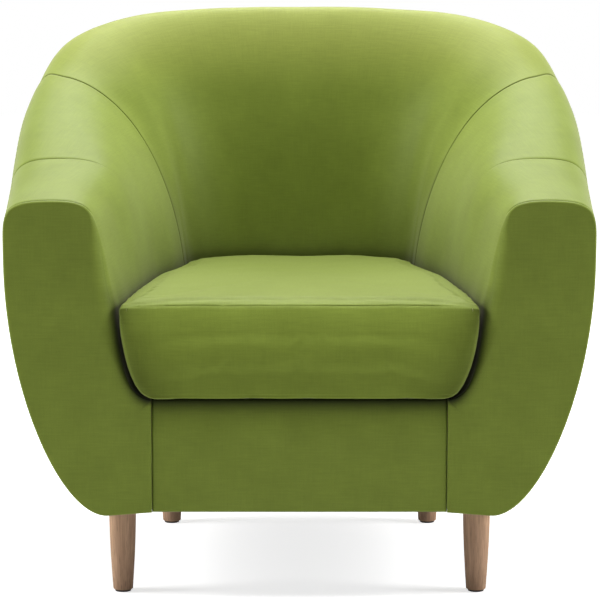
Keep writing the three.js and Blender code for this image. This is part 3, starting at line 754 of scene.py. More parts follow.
@dataclass(frozen=True)
class Velvet:
    """Short-pile velvet with faint crossed streaks in the pile, painted paler high up as painted light on its tops.

    Its tone at two heights is painted shade and light: how much darker or lighter the colour is painted low and high.
    streaks: how often the pile changes along a streak and across it, to the metre. Where the mesh carries a
    painted-shade value, the colour is darkened by that share, as painted shade in seams, gaps and beside the cushion.
    """

    name: str = "green_velvet"
    dark: Colour = (0.178, 0.232, 0.034)
    light: Colour = (0.206, 0.268, 0.041)
    # Painted light: the paler colour painted on the high surfaces between two heights, up to a share.
    painted_light: Colour = (0.290, 0.330, 0.070)
    painted_light_heights: tuple[float, float] = (0.690, 0.835)
    most_painted_light: float = 0.85
    # Painted shade and light: the colour scaled darker or lighter between two heights.
    painted_shade_tones: tuple[float, float] = (1.0, 1.0)
    painted_shade_heights: tuple[float, float] = (0.450, 0.640)
    streaks: tuple[float, float] = (26.0, 420.0)
    sheen_tint: tuple[float, float, float, float] = (1.0, 0.92, 0.80, 1)
    sheen_weight: float = 0.12
    sheen_roughness: float = 0.5
    roughness: float = 0.45
    gloss: float = 0.08

    def build(self) -> bpy.types.Material:
        """Makes the material.

        Returns:
            The material, which follows the pieces' weave UV.
        """
        canvas = NodeCanvas(self.name)
        cloth = canvas.add("ShaderNodeUVMap", uv_map="weave").outputs["UV"]
        long, short = self.streaks
        across = canvas.noise(canvas.mapped(cloth, (long, short, 1)), 1.0, 3.0, 0.65)
        along = canvas.noise(canvas.mapped(cloth, (short, long, 1)), 1.0, 3.0, 0.65)
        clouds = canvas.noise(cloth, 13.0, 3.0, 0.6)
        pile = canvas.noise(cloth, 700.0, 2.0, 0.6)
        threads = canvas.math("ADD", canvas.math("MULTIPLY", across, 0.6), canvas.math("MULTIPLY", along, 0.4))
        tone = canvas.math(
            "ADD", canvas.ramp(threads, 0.35, 0.65, 0.92, 1.08), canvas.ramp(pile, 0.3, 0.7, -0.05, 0.05)
        )
        share = canvas.ramp(clouds, 0.3, 0.7, 0.0, 1.0)
        height = canvas.add("ShaderNodeSeparateXYZ", {0: canvas.place()}).outputs["Z"]
        # Painted light: the high surfaces painted paler, as the overhead lamps light them.
        worn = canvas.ramp(height, *self.painted_light_heights, 0.0, self.most_painted_light, "SMOOTHSTEP")
        colour = canvas.mix(worn, canvas.mix(share, self.dark, self.light), self.painted_light)
        # Painted shade and light by height.
        height_shade = canvas.ramp(height, *self.painted_shade_heights, *self.painted_shade_tones, "SMOOTHSTEP")
        # Painted shade from the mesh's attribute, in seams, gaps and beside the cushion.
        crease = canvas.add("ShaderNodeAttribute", attribute_name="crease").outputs["Fac"]
        unshaded = canvas.math("SUBTRACT", 1.0, crease)
        colour = canvas.scaled(colour, canvas.math("MULTIPLY", tone, canvas.math("MULTIPLY", height_shade, unshaded)))
        canvas.set(
            Base_Color=colour,
            Roughness=self.roughness,
            Sheen_Weight=self.sheen_weight,
            Sheen_Roughness=self.sheen_roughness,
            Sheen_Tint=self.sheen_tint,
            Specular_IOR_Level=self.gloss,
        )
        relief = canvas.math("ADD", canvas.math("MULTIPLY", threads, 1.4), pile)
        canvas.bump(relief, 0.14 * MM, 0.6)
        return canvas.material


@dataclass(frozen=True)
class WovenCloth:
    """Plain woven or bonded cloth for the hidden side of the chair."""

    name: str
    colour: Colour
    thread: float = 0.7 * MM
    contrast: float = 0.35

    def build(self) -> bpy.types.Material:
        """Makes the material."""
        canvas = NodeCanvas(self.name)
        place = canvas.place()
        rate = 2 * math.pi / self.thread
        split = canvas.add("ShaderNodeSeparateXYZ", {0: place})
        warp = canvas.math("SINE", canvas.math("MULTIPLY", split.outputs["X"], rate), 0.0)
        weft = canvas.math("SINE", canvas.math("MULTIPLY", split.outputs["Y"], rate), 0.0)
        weave = canvas.math("MULTIPLY", warp, weft)
        patches = canvas.noise(place, 30.0, 3.0)
        tone = canvas.math(
            "ADD",
            canvas.ramp(weave, -1, 1, 1 - self.contrast / 2, 1 + self.contrast / 2),
            canvas.ramp(patches, 0.3, 0.7, -0.1, 0.1),
        )
        canvas.set(Base_Color=canvas.toned(self.colour, tone), Roughness=0.93, Sheen_Weight=0.2)
        canvas.bump(weave, 0.12 * MM, 0.6)
        return canvas.material


@dataclass(frozen=True)
class TurnedWood:
    """Stained hardwood with its grain running up the piece."""

    name: str
    dark: Colour
    light: Colour
    roughness: float = 0.45
    grain_scale: tuple[float, float, float] = (260.0, 260.0, 9.0)

    def build(self) -> bpy.types.Material:
        """Makes the material."""
        canvas = NodeCanvas(self.name)
        place = canvas.place()
        fine = canvas.noise(canvas.mapped(place, self.grain_scale), 1.0, 4.0, 0.62)
        broad = canvas.noise(canvas.mapped(place, tuple(0.22 * s for s in self.grain_scale)), 1.0)
        pores = canvas.noise(canvas.mapped(place, tuple(3.2 * s for s in self.grain_scale)), 1.0, 1.0)
        blend = canvas.math("ADD", canvas.math("MULTIPLY", fine, 0.55), canvas.math("MULTIPLY", broad, 0.45))
        colour = canvas.mix(canvas.ramp(blend, 0.36, 0.64, 0.0, 1.0), self.dark, self.light)
        colour = canvas.scaled(colour, canvas.ramp(pores, 0.30, 0.42, 0.72, 1.0))
        canvas.set(
            Base_Color=colour,
            Roughness=canvas.ramp(fine, 0.3, 0.7, self.roughness - 0.06, self.roughness + 0.08),
            Specular_IOR_Level=0.04,
        )
        canvas.bump(canvas.math("ADD", fine, pores), 0.08 * MM, 0.5)
        return canvas.material


@dataclass(frozen=True)
class DrawnSteel:
    """Spring and zinc-plated steel."""

    name: str
    colour: Colour
    roughness: float = 0.35

    def build(self) -> bpy.types.Material:
        """Makes the material."""
        canvas = NodeCanvas(self.name)
        place = canvas.place()
        spots = canvas.noise(place, 90.0, 4.0, 0.6)
        scratches = canvas.noise(place, 700.0, 2.0, 0.6)
        canvas.set(
            Base_Color=canvas.toned(self.colour, canvas.ramp(spots, 0.3, 0.7, 0.82, 1.1)),
            Metallic=1.0,
            Roughness=canvas.ramp(spots, 0.3, 0.7, self.roughness - 0.08, self.roughness + 0.12),
        )
        canvas.bump(scratches, 0.02 * MM, 0.4)
        return canvas.material


@dataclass(frozen=True)
class MouldedNylon:
    """Moulded nylon with a fine grained skin."""

    name: str
    colour: Colour

    def build(self) -> bpy.types.Material:
        """Makes the material."""
        canvas = NodeCanvas(self.name)
        place = canvas.place()
        grain = canvas.noise(place, 1600.0, 2.0, 0.6)
        scuffs = canvas.noise(place, 60.0, 3.0, 0.6)
        canvas.set(
            Base_Color=canvas.toned(self.colour, canvas.ramp(scuffs, 0.3, 0.7, 0.85, 1.2)),
            Roughness=canvas.ramp(scuffs, 0.3, 0.7, 0.5, 0.66),
        )
        canvas.bump(grain, 0.05 * MM, 0.5)
        return canvas.material


@dataclass(frozen=True)
class SeatFoam:
    """Open-cell foam."""

    name: str = "seat_foam"
    colour: Colour = (0.76, 0.68, 0.46)

    def build(self) -> bpy.types.Material:
        """Makes the material."""
        canvas = NodeCanvas(self.name)
        place = canvas.place()
        cells = canvas.add("ShaderNodeTexVoronoi", {"Vector": place, "Scale": 900.0}).outputs["Distance"]
        patches = canvas.noise(place, 14.0, 3.0)
        tone = canvas.math("ADD", canvas.ramp(cells, 0.0, 0.6, 0.8, 1.04), canvas.ramp(patches, 0.3, 0.7, -0.05, 0.05))
        canvas.set(Base_Color=canvas.toned(self.colour, tone), Roughness=0.95)
        canvas.bump(cells, 0.4 * MM, 0.6)
        return canvas.material


class Finishes:
    """Every finish of the chair, made once."""

    def __init__(self) -> None:
        """Makes the materials."""
        self.velvet = Velvet().build()
        # Copies of the velvet with painted light and shade: the inside back darker low down, the cushion paler at its
        # top.
        self.back_velvet = Velvet("green_velvet_back", painted_shade_tones=(0.88, 1.0)).build()
        self.cushion_velvet = Velvet(
            "green_velvet_cushion", painted_light=(0.196, 0.240, 0.062), painted_light_heights=(0.432, 0.449),
            painted_shade_tones=(0.95, 1.26), painted_shade_heights=(0.300, 0.432), gloss=0.025,
        ).build()
        self.deck_cloth = WovenCloth("deck_cloth", (0.030, 0.036, 0.020)).build()
        self.lining = WovenCloth("base_lining", (0.012, 0.012, 0.013), 1.1 * MM, 0.5).build()
        self.foam = SeatFoam().build()
        self.walnut = TurnedWood("stained_walnut", (0.430, 0.262, 0.170), (0.640, 0.420, 0.280), 0.75).build()
        timber = ((0.42, 0.27, 0.14), (0.62, 0.44, 0.26))
        self.timber_upright = TurnedWood("frame_timber_upright", *timber, 0.7).build()
        self.timber_across = TurnedWood("frame_timber_across", *timber, 0.7, (9.0, 120.0, 260.0)).build()
        self.timber_along = TurnedWood("frame_timber_along", *timber, 0.7, (120.0, 9.0, 260.0)).build()
        self.spring_steel = DrawnSteel("spring_steel", (0.22, 0.23, 0.25)).build()
        self.zinc = DrawnSteel("zinc_plated_steel", (0.55, 0.57, 0.58), 0.3).build()
        self.nylon = MouldedNylon("black_nylon", (0.022, 0.020, 0.019)).build()
        self.zip_tape = WovenCloth("zip_tape", (0.045, 0.070, 0.014), 0.5 * MM).build()


def dress(
    piece: bpy.types.Object,
    material: bpy.types.Material,
    slot: Slot,
    stands_for: Iterable[str] = (),
    body: Body = Body.CHAIR,
) -> bpy.types.Object:
    """Gives a new piece its finish, its body and the nodes that it stands for.

    Args:
        piece: The new piece.
        material: Its finish.
        slot: The record's slot for that finish; not used.
        stands_for: The frame's nodes that it replaces.
        body: The body that it rides on.

    Returns:
        The piece.
    """
    if not piece.data.materials:
        piece.data.materials.append(material)
    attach(piece, body.value)
    nodes = list(stands_for)
    if nodes:
        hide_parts(*nodes)
    log.info("%s: %d faces, on %s", piece.name, len(piece.data.polygons), body.value)
    return piece


# A seam at its full strength all along, and one that fades out down the inside of the arm
FULL_SEAM = Ramp(-1.0, -0.5)
ARM_SEAM_FADE = Ramp(1.52, 2.10)


class FacingZones:
    """Where along the section each change of the arm's front edge begins and ends."""

    SEAM = Ramp(1.56, 1.68)
    FOOT_SEAM = Ramp(0.1, 0.0)
    SOFT_TOP = Ramp(1.68, 1.06)
    SOFT_FOOT = Ramp(0.25, 1.0)
    WORN_TOP = Ramp(1.24, 0.94)
    WORN_FOOT = Ramp(0.06, 0.36)
    # Painted shade beside the cushion: where it starts and ends along the section
    PAINTED_SHADE = Ramp(1.12, 0.92)
    INSIDE_BEHIND = Ramp(0.0, 0.4)
    OUTSIDE_BEHIND = Ramp(4.0, 3.6)


@dataclass(frozen=True)
class FacingRoll:
    """How the arm's front edge is rounded, in metres.

    dip: how far it is drawn in at the seam. radius: of its roll. relief: how far the padding is worn back
    beside the cushion, and relief_reach: how far behind the front that ends. The shade share is painted shade: how far
    the colour is darkened in the gap beside the cushion, and mouth: how far in from the edge.
    """

    dip: float = 0.0018
    radius: float = 0.0028
    relief: float = 0.0
    shade_share: float = 0.0
    relief_reach: float = 0.075
    mouth: float = 0.0105

    @classmethod
    def at(cls, v: float) -> "FacingRoll":
        """The roll at a place along the section: wide and without a seam beside the cushion, tight elsewhere."""
        zones, tight = FacingZones, cls()
        seamed = max(zones.SEAM.at(v), zones.FOOT_SEAM.at(v))
        radius = between(tight.radius, FACING_SOFT_RADIUS, zones.SOFT_TOP.at(v) * zones.SOFT_FOOT.at(v))
        worn = FACING_WEAR * zones.WORN_FOOT.at(v) * zones.WORN_TOP.at(v)
        return cls(tight.dip * seamed, radius, worn, zones.PAINTED_SHADE.at(v))

    def crease(self, inset: float) -> float:
        """How much painted shade darkens the colour at a distance inside the outline."""
        return MOST_PAINTED_SHADE * self.shade_share * math.exp(-((inset / self.mouth) ** 2))

    def worn(self, depth: float) -> float:
        """How far the padding beside the cushion is worn back at a depth behind the front."""
        return self.relief * (1 - eased(depth / self.relief_reach))

    def inset(self, depth: float) -> float:
        """How far the surface lies inside its outline at a depth behind the front."""
        if depth >= self.radius:
            return self.worn(depth)
        return self.radius - math.sqrt(self.radius**2 - (self.radius - depth) ** 2) + self.worn(depth)


@dataclass(frozen=True)
class SeamPath:
    """A seam near a station, swung forward where it crosses the rim and lagging back low down on the inside."""

    station: float
    swing: float = 0.0
    lag: float = 0.0
    middle: float = 1.85
    reach: float = 0.52
    low_down: Ramp = Ramp(1.5, 1.0)

    def at(self, v: float) -> float:
        """The seam's station at a place along the section."""
        return self.station - self.swing * hump((v - self.middle) / self.reach) + self.lag * self.low_down.at(v)


class Ripple(NamedTuple):
    """An unevenness of the cloth: how strong it is, how wide, and the seed of its places."""

    strength: float
    size: float
    seed: float

    def at(self, point: Vector) -> float:
        """Its value at a point."""
        return self.strength * unevenness(point, self.size, self.seed)


class Seam(NamedTuple):
    """How far away a seam is, how strongly it is drawn in, and how firmly it holds the padding down."""

    distance: float
    strength: float = 1.0
    hold: float = 1.0


@dataclass(frozen=True)
class PadEdges:
    """How a pad's edges roll down to its seams, and how it swells between them, in metres.

    far: the distance from a seam past which nothing changes. flat: where the ripples start. ripple_sizes: how wide
    the fine and the broad ripples are.
    """

    roll: float = 0.0062
    dip: float = 0.0024
    swell: float = 0.0016
    swell_reach: float = 0.045
    ripple: float = 0.0004
    seed: float = 0.0
    far: float = 0.085
    flat: float = 0.02
    ripple_sizes: tuple[float, float] = (0.055, 0.16)

    def lift(self, point: Vector, seams: Sequence["Seam"]) -> float:
        """How far the pad's surface stands out from the plain wall.

        Args:
            point: Where, for the unevenness.
            seams: Its seams, as near as they are.

        Returns:
            The height, which is below nought in a seam.
        """
        depth = max(seam.strength * seam_dip(seam.distance, self.roll, self.dip) for seam in seams)
        nearest = min(self.far, *(seam.distance + (1 - seam.hold) * self.far for seam in seams))
        swell = self.swell * (1 - math.exp(-nearest / self.swell_reach))
        fine, broad = self.ripple_sizes
        wave = unevenness(point, fine, self.seed) + 2 * unevenness(point, broad, self.seed + 7)
        return swell - depth + self.ripple * wave * min(1.0, nearest / self.flat)


def seam_painted_shade(seams: Iterable[Seam], width: float = 0.0018, depth: float = 0.35) -> float:
    """How much painted shade darkens the colour in the nearest of the seams."""
    return max(seam.strength * depth * math.exp(-((seam.distance / width) ** 2)) for seam in seams)


def sewn_pad(
    name: str,
    size: tuple[int, int],
    surface: Place,
    back: Place,
    lift: Measure,
    crease: Measure,
    cloth: Callable[[int, int], tuple[float, float]],
) -> bpy.types.Object:
    """Makes a pad from a grid: its covered face, and its back where it lies on what carries it.

    Args:
        name: The piece's name.
        size: How many points its grid has along each direction.
        surface: Gives the plain place of each point.
        back: Gives its place on the pad's back.
        lift: Gives how far it stands out from its plain place.
        crease: Gives how much painted shade darkens each point's colour.
        cloth: Gives its place on the cloth, in metres.

    Returns:
        The closed piece.
    """
    columns, rows = size
    places = [[surface(i, j) for j in range(rows)] for i in range(columns)]
    bm = grid_mesh(columns, rows, lambda i, j: places[i][j])
    shade_share = bm.verts.layers.float.new("crease")
    cell = bm.verts.layers.int["cell"]

    def where(vert: bmesh.types.BMVert) -> tuple[int, int]:
        return vert[cell] % columns, vert[cell] // columns

    weave_uv(bm, lambda loop: cloth(*where(loop.vert)))
    bm.normal_update()
    bm.verts.ensure_lookup_table()
    middle = bm.verts[len(bm.verts) // 2]
    out = 1 if middle.normal.dot(middle.co - back(*where(middle))) > 0 else -1
    for vert in bm.verts:
        vert[shade_share] = crease(*where(vert), vert.co)
        vert.co += vert.normal * out * lift(*where(vert), vert.co)
    grown = bmesh.ops.extrude_face_region(bm, geom=list(bm.faces), use_keep_orig=True)["geom"]
    for vert in (g for g in grown if isinstance(g, bmesh.types.BMVert)):
        vert.co = back(*where(vert))
    return finished_object(name, bm, sharpness=50)


@dataclass(frozen=True)
class Fullness:
    """How far the stuffing swells a panel out: most at a place along the section, and nothing at its seams."""

    reach: float = 0.008
    middle: float = 1.5
    below: float = 0.5
    above: float = 0.4
    edge: float = 0.11

    def at(self, v: float, nearest: float) -> float:
        """How far out, in metres, by the place along the section and the distance from the nearest seam."""
        away = (v - self.middle) / (self.below if v < self.middle else self.above)
        return self.reach * hump(away) * eased(nearest / self.edge)


@dataclass(frozen=True)
class PaintedShadeBesideCushion:
    """Painted shade beside the cushion and in the inside back's deep seams, as shares over distances in metres.

    most: the share at the seat line, held up to a height above it and fading over another. hidden: by the height
    above the seat line. mouth: by the depth behind the facing. seam_width and seam_share: of the inside back's
    seams, and seam_top: where along the section they end.
    """

    most: float = 0.6
    held: float = 0.004
    fade: float = 0.018
    hidden: Ramp = Ramp(0.0, -0.03, 1.0, 0.4)
    mouth: Ramp = Ramp(0.02, 0.05, 1.0, 0.0)
    past_mouth: Ramp = Ramp(0.0, 0.04)
    seam_width: float = 0.010
    seam_share: float = 0.6
    seam_top: Ramp = Ramp(1.5, 1.1)

    def beside_cushion(self, above: float) -> float:
        """The share at a height above the seat line."""
        return self.most * math.exp(-max(0.0, above - self.held) / self.fade) * self.hidden.at(above)


@dataclass(frozen=True)
class WallPanel:
    """One padded panel or skin of the wall, sewn to its neighbours."""

    FINE_ALONG: ClassVar[int] = 160
    FINE_UP: ClassVar[int] = 90

    name: str
    start: SeamPath
    end: SeamPath
    low: float
    high: float
    edges: PadEdges = PadEdges()
    low_seam: bool = True
    high_seam: bool = True
    start_fade: Ramp = FULL_SEAM
    end_fade: Ramp = FULL_SEAM
    behind_facing: bool = False
    fullness: Optional[Fullness] = None
    pile: PaintedShadeBesideCushion = PaintedShadeBesideCushion()

    def build(self, wall: Wall) -> bpy.types.Object:
        """Makes the panel as a closed pad of its real thickness.

        Args:
            wall: The wall that it covers.

        Returns:
            The piece.
        """
        rim = SectionMark.CROWN.value
        stations = spread(self.start.at(rim), self.end.at(rim), self.FINE_ALONG)
        along = Ruler(stations, [wall.point(t, rim) for t in stations])
        steps = SEAM_ROWS.count(along.length, True, True)
        across = SEAM_ROWS.places(along.length, steps, True, True)
        span = stations[-1] - stations[0]
        shares = [(along.key_at(d) - stations[0]) / span for d in across]
        marks = spread(self.low, self.high, self.FINE_UP)
        rulers = [Ruler(marks, [wall.point(self.station(s, v), v) for v in marks]) for s in shares]
        steps = SEAM_ROWS.count(max(r.length for r in rulers), self.low_seam, self.high_seam)
        up = [SEAM_ROWS.places(r.length, steps, self.low_seam, self.high_seam) for r in rulers]
        keys = [[ruler.key_at(d) for d in column] for ruler, column in zip(rulers, up)]

        def surface(i: int, j: int) -> Vector:
            return wall.point(self.station(shares[i], keys[i][j]), keys[i][j])

        def back(i: int, j: int) -> Vector:
            return wall.point(self.station(shares[i], keys[i][j]), keys[i][j], wall.padding_back)

        def seams_at(i: int, j: int) -> list[Seam]:
            v = keys[i][j]
            start, end = self.start_fade.at(v), self.end_fade.at(v)
            held = 1.0 if self.behind_facing else start
            seams = [Seam(across[i], start, held), Seam(across[-1] - across[i], end, end)]
            if self.low_seam:
                seams.append(Seam(up[i][j]))
            if self.high_seam:
                seams.append(Seam(rulers[i].length - up[i][j]))
            return seams

        # Painted shade: the wall darkened beside the cushion, in the facing's gap and in its seams.
        def crease(i: int, j: int, point: Vector) -> float:
            v, seams, pile = keys[i][j], seams_at(i, j), self.pile
            pressed = 0.0
            if v <= SectionMark.CROWN.value:
                pressed = pile.beside_cushion(point.z - wall.sizes.seat_line)
            if self.behind_facing:
                roll, depth = FacingRoll.at(v), wall.sizes.facing_depth + across[i]
                mouth = roll.crease(roll.inset(depth)) * pile.mouth.at(depth)
                pressed = max(pressed * pile.past_mouth.at(across[i]), mouth)
            if self.fullness:
                deep = seam_painted_shade(seams, pile.seam_width, pile.seam_share)
                pressed = max(pressed, deep * pile.seam_top.at(v))
            return max(pressed, seam_painted_shade(seams))

        def lift(i: int, j: int, point: Vector) -> float:
            v = keys[i][j]
            height = self.edges.lift(point, seams_at(i, j))
            if self.behind_facing:
                height -= FacingRoll.at(v).inset(wall.sizes.facing_depth + across[i])
            if self.fullness:
                height += self.fullness.at(v, min(across[i], across[-1] - across[i]))
            return height

        def cloth(i: int, j: int) -> tuple[float, float]:
            return across[i] + stations[0], up[i][j]

        return sewn_pad(self.name, (len(shares), len(up[0])), surface, back, lift, crease, cloth)

    def station(self, share: float, v: float) -> float:
        """The place along the wall at a share of the way between the panel's two seams."""
        return between(self.start.at(v), self.end.at(v), share)


class Upholstery:
    """The fixed velvet of the chair: facings, inside and outside panels, and the front border."""

    CURVE_STEPS = (22, 40, 34, 60)
    SIDE_STEPS = 8
    BORDER_STEPS = 17
    EDGE_SHARES = (*spread(0.0, 1.0, 13), 1.04, 1.2, 1.45, 1.75, 2.1)
    STRAIGHT_SHARE = 0.25
    FLAT_STEP = 0.015
    LEAST_FLAT_SHARE = 0.12
    BORDER_LEAN = 0.0042
    BORDER_LEAN_HEIGHT = 0.06
    # Painted shadow on the border under the cushion's overhang: how dark at the top, and how far down it reaches.
    BORDER_PAINTED_SHADE = 0.93
    BORDER_PAINTED_SHADE_REACH = 0.017

    def __init__(self, wall: Wall, finishes: Finishes) -> None:
        """Args:
            wall: The shape of the padded wall.
            finishes: The chair's finishes.
        """
        self.wall = wall
        self.sizes = wall.sizes
        self.finishes = finishes

    def build(self) -> None:
        """Makes every fixed velvet piece."""
        self.panels()
        self.facings()
        self.border()

    def panels(self) -> None:
        """The padded panels and skins of the wall."""
        arm, whole = SeamPath(ARM_SEAM_STATION), 2 * LAST_STATION
        front = SeamPath(self.wall.station_behind_front(self.sizes.facing_depth))
        back = SeamPath(BACK_SEAM_STATION, BACK_SEAM_SWING, BACK_SEAM_LAG)
        other = SeamPath(whole - BACK_SEAM_STATION, -BACK_SEAM_SWING, -BACK_SEAM_LAG)
        deck, rim, base = SectionMark.DECK.value, SectionMark.SKIN_SEAM.value, SectionMark.BASE.value
        skin = PadEdges(roll=0.004, dip=0.0014, swell=0.0006)
        inner = PadEdges(roll=0.0028, dip=0.0011, swell=0.0008, swell_reach=0.09, seed=23.0)
        sided = (
            WallPanel("inside_arm", front, arm, deck, rim, replace(PadEdges(), seed=3.0), low_seam=False,
                      start_fade=FacingZones.SEAM, end_fade=ARM_SEAM_FADE, behind_facing=True),
            WallPanel("inside_wing", arm, back, deck, rim, replace(PadEdges(), seed=3.0), low_seam=False,
                      start_fade=ARM_SEAM_FADE),
            WallPanel("outside_arm", front, back, rim, base, replace(skin, seed=17.0), high_seam=False),
        )
        for panel in sided:
            right = panel.build(self.wall)
            right.name = panel.name + "_right_pad"
            left = mirrored_copy(right, panel.name + "_left_pad")
            for side, piece in (("right", right), ("left", left)):
                self.cover(piece, f"{panel.name}_{side}")
        shared = (
            WallPanel("inside_back", back, other, deck, rim, inner, low_seam=False, fullness=Fullness()),
            WallPanel("outside_back", back, other, rim, base, replace(skin, seed=29.0), high_seam=False),
        )
        for panel in shared:
            piece = panel.build(self.wall)
            piece.name = panel.name + "_pad"
            self.cover(piece, panel.name)

    def cover(self, piece: bpy.types.Object, node: str, fill: float = 0.9) -> None:
        """Dresses one fixed velvet piece."""
        # The inside back gets the velvet copy that is painted darker low down, as painted shade.
        velvet = self.finishes.back_velvet if node == "inside_back" else self.finishes.velvet
        dress(piece, velvet, Slot.VELVET, [node])

    def facings(self) -> None:
        """The flat front panels of the arms, rolled softly back to their seams."""
        s = self.sizes
        outline, behind, rolls = self.facing_outline()
        count = len(outline)
        inward = []
        for i in range(count):
            along = (outline[(i + 1) % count] - outline[i - 1]).normalized()
            inward.append(Vector((along.z, 0, -along.x)))
        middle = sum(outline, Vector()) / count
        if sum((middle - p).dot(n) for p, n in zip(outline, inward)) < 0:
            inward = [-n for n in inward]
        # The first point is a right-angled corner, so its inset runs as far along both edges
        inward[0] = Vector((1, 0, -1))
        edge_from = count - self.BORDER_STEPS
        rings, painted_shades = [], []
        for share in self.EDGE_SHARES:
            ring = []
            held, _ = self.facing_edge(rolls[0], share)
            for i, (p, q, n, roll) in enumerate(zip(outline, behind, inward, rolls)):
                inset, depth = self.facing_edge(roll, share)
                place = p.lerp(q, depth / s.facing_depth) + n * inset + Vector((0, depth - s.front_reach, 0))
                place.x = max(place.x, s.border_half_width + inset)
                if i > edge_from:
                    place.z = min(place.z, outline[0].z - held)
                ring.append(place)
            rings.append(ring)
            painted_shades.append([roll.crease(self.facing_edge(roll, share)[0]) for roll in rolls])
        bm = lofted_rings(rings, painted_shades=painted_shades)
        weave_uv(bm, boxed_lay)
        right = finished_object("arm_facing_right_panel", bm, sharpness=50)
        left = mirrored_copy(right, "arm_facing_left_panel")
        self.cover(right, "arm_facing_right")
        self.cover(left, "arm_facing_left")

    def facing_edge(self, roll: FacingRoll, share: float) -> tuple[float, float]:
        """The inset and depth of the facing's edge at a share of the way from its seam to its flat front.

        Args:
            roll: The roll there.
            share: From nought at the seam to one where the flat front starts, and a little past it.

        Returns:
            How far inside the outline, and how far behind the front.
        """
        depth, first = self.sizes.facing_depth, self.STRAIGHT_SHARE
        straight = max(0.0, depth - roll.radius)
        if share > 1:
            step = self.FLAT_STEP * max(roll.shade_share, self.LEAST_FLAT_SHARE)
            return roll.radius + roll.relief + step * (share - 1), 0.0
        if straight > 0 and share < first:
            at = depth - straight * share / first
            return roll.dip * (1 - share / first) ** 2 + roll.worn(at), at
        start = math.asin(1 - min(depth, roll.radius) / roll.radius)
        turn = between(start, math.pi / 2, share if straight <= 0 else (share - first) / (1 - first))
        at = roll.radius * (1 - math.sin(turn))
        return roll.radius * (1 - math.cos(turn)) + roll.worn(at), at

    def facing_outline(self) -> tuple[list[Vector], list[Vector], list[FacingRoll]]:
        """The facing's outline at its front and at its seam, and how its edge rolls at each point.

        Returns:
            The front's points in order, those at the seam without their depth, and a roll for each.
        """
        s = self.sizes
        outline: list[Vector] = []
        behind: list[Vector] = []
        rolls: list[FacingRoll] = []
        seam = self.wall.station_behind_front(s.facing_depth)
        for curve, count in enumerate(self.CURVE_STEPS):
            for i in range(count):
                v = curve + i / count
                share = FacingZones.INSIDE_BEHIND.at(v) * FacingZones.OUTSIDE_BEHIND.at(v)
                outline.append(self.wall.point(0.0, v))
                behind.append(outline[-1].lerp(self.wall.point(seam, v), share))
                rolls.append(FacingRoll.at(v))
        outline.append(self.wall.point(0.0, SectionMark.BASE.value))
        corner = Vector((s.border_half_width, 0, s.base_height + s.border_lift))
        foot = outline[0].copy()
        outline += [outline[-1].lerp(corner, k) for k in spread(0.0, 1.0, self.SIDE_STEPS)[1:]]
        outline += [corner.lerp(foot, k) for k in spread(0.0, 1.0, self.BORDER_STEPS + 1)[1:-1]]
        rolls += [FacingRoll() for _ in range(len(outline) - len(rolls))]
        behind += [point.copy() for point in outline[len(behind):]]
        for point in (*outline, *behind):
            point.y = 0
        return outline, behind, rolls

    def border(self) -> None:
        """The band under the cushion, between the two facings."""
        s = self.sizes
        low, high = s.base_height + s.border_lift, s.deck_height
        front, rear = -s.front_reach + s.border_setback, -s.front_reach + s.facing_depth
        half = s.border_half_width
        rows = SEAM_ROWS
        across = rows.places(2 * half, rows.count(2 * half, True, True), True, True)
        up = rows.places(high - low, rows.count(high - low, True, True), True, True)
        edges = PadEdges(roll=0.005, dip=0.0045, swell=0.0012, swell_reach=0.03, seed=41.0)

        def seams_at(i: int, j: int) -> list[Seam]:
            return [Seam(d) for d in (across[i], across[-1] - across[i], up[j], up[-1] - up[j])]

        # Painted shadow under the cushion, and painted shade in the border's seams.
        def crease(i: int, j: int, point: Vector) -> float:
            under = self.BORDER_PAINTED_SHADE * math.exp(-(((up[-1] - up[j]) / self.BORDER_PAINTED_SHADE_REACH) ** 2))
            return max(under, seam_painted_shade(seams_at(i, j)))

        def surface(i: int, j: int) -> Vector:
            lean = self.BORDER_LEAN * eased((up[j] - up[-1]) / self.BORDER_LEAN_HEIGHT + 1)
            return Vector((across[i] - half, front + lean, low + up[j]))

        piece = sewn_pad(
            "front_border_panel",
            (len(across), len(up)),
            surface,
            lambda i, j: Vector((across[i] - half, rear, low + up[j])),
            lambda i, j, point: edges.lift(point, seams_at(i, j)),
            crease,
            lambda i, j: (across[i], up[j]),
        )
        self.cover(piece, "front_border", 0.85)


@dataclass(frozen=True)
class Fold:
    """A soft crease in the cushion's cover: where it starts and ends, how wide it is and how high."""

    start: tuple[float, float, float]
    end: tuple[float, float, float]
    width: float
    height: float
    root: float = 0.15
    past_root: float = 0.45

    def lift(self, point: Vector) -> float:
        """How far the fold raises a point of the cover."""
        a, b = Vector(self.start), Vector(self.end)
        along = b - a
        share = min(1.0, max(0.0, (point - a).dot(along) / along.length_squared))
        away = (point - a - along * share).length / self.width
        along = min(1.0, self.root + (1 - self.root) * share)
        taper = math.sin(math.pi * along) if share > 0 else self.past_root
        return self.height * taper * math.exp(-(away**2))


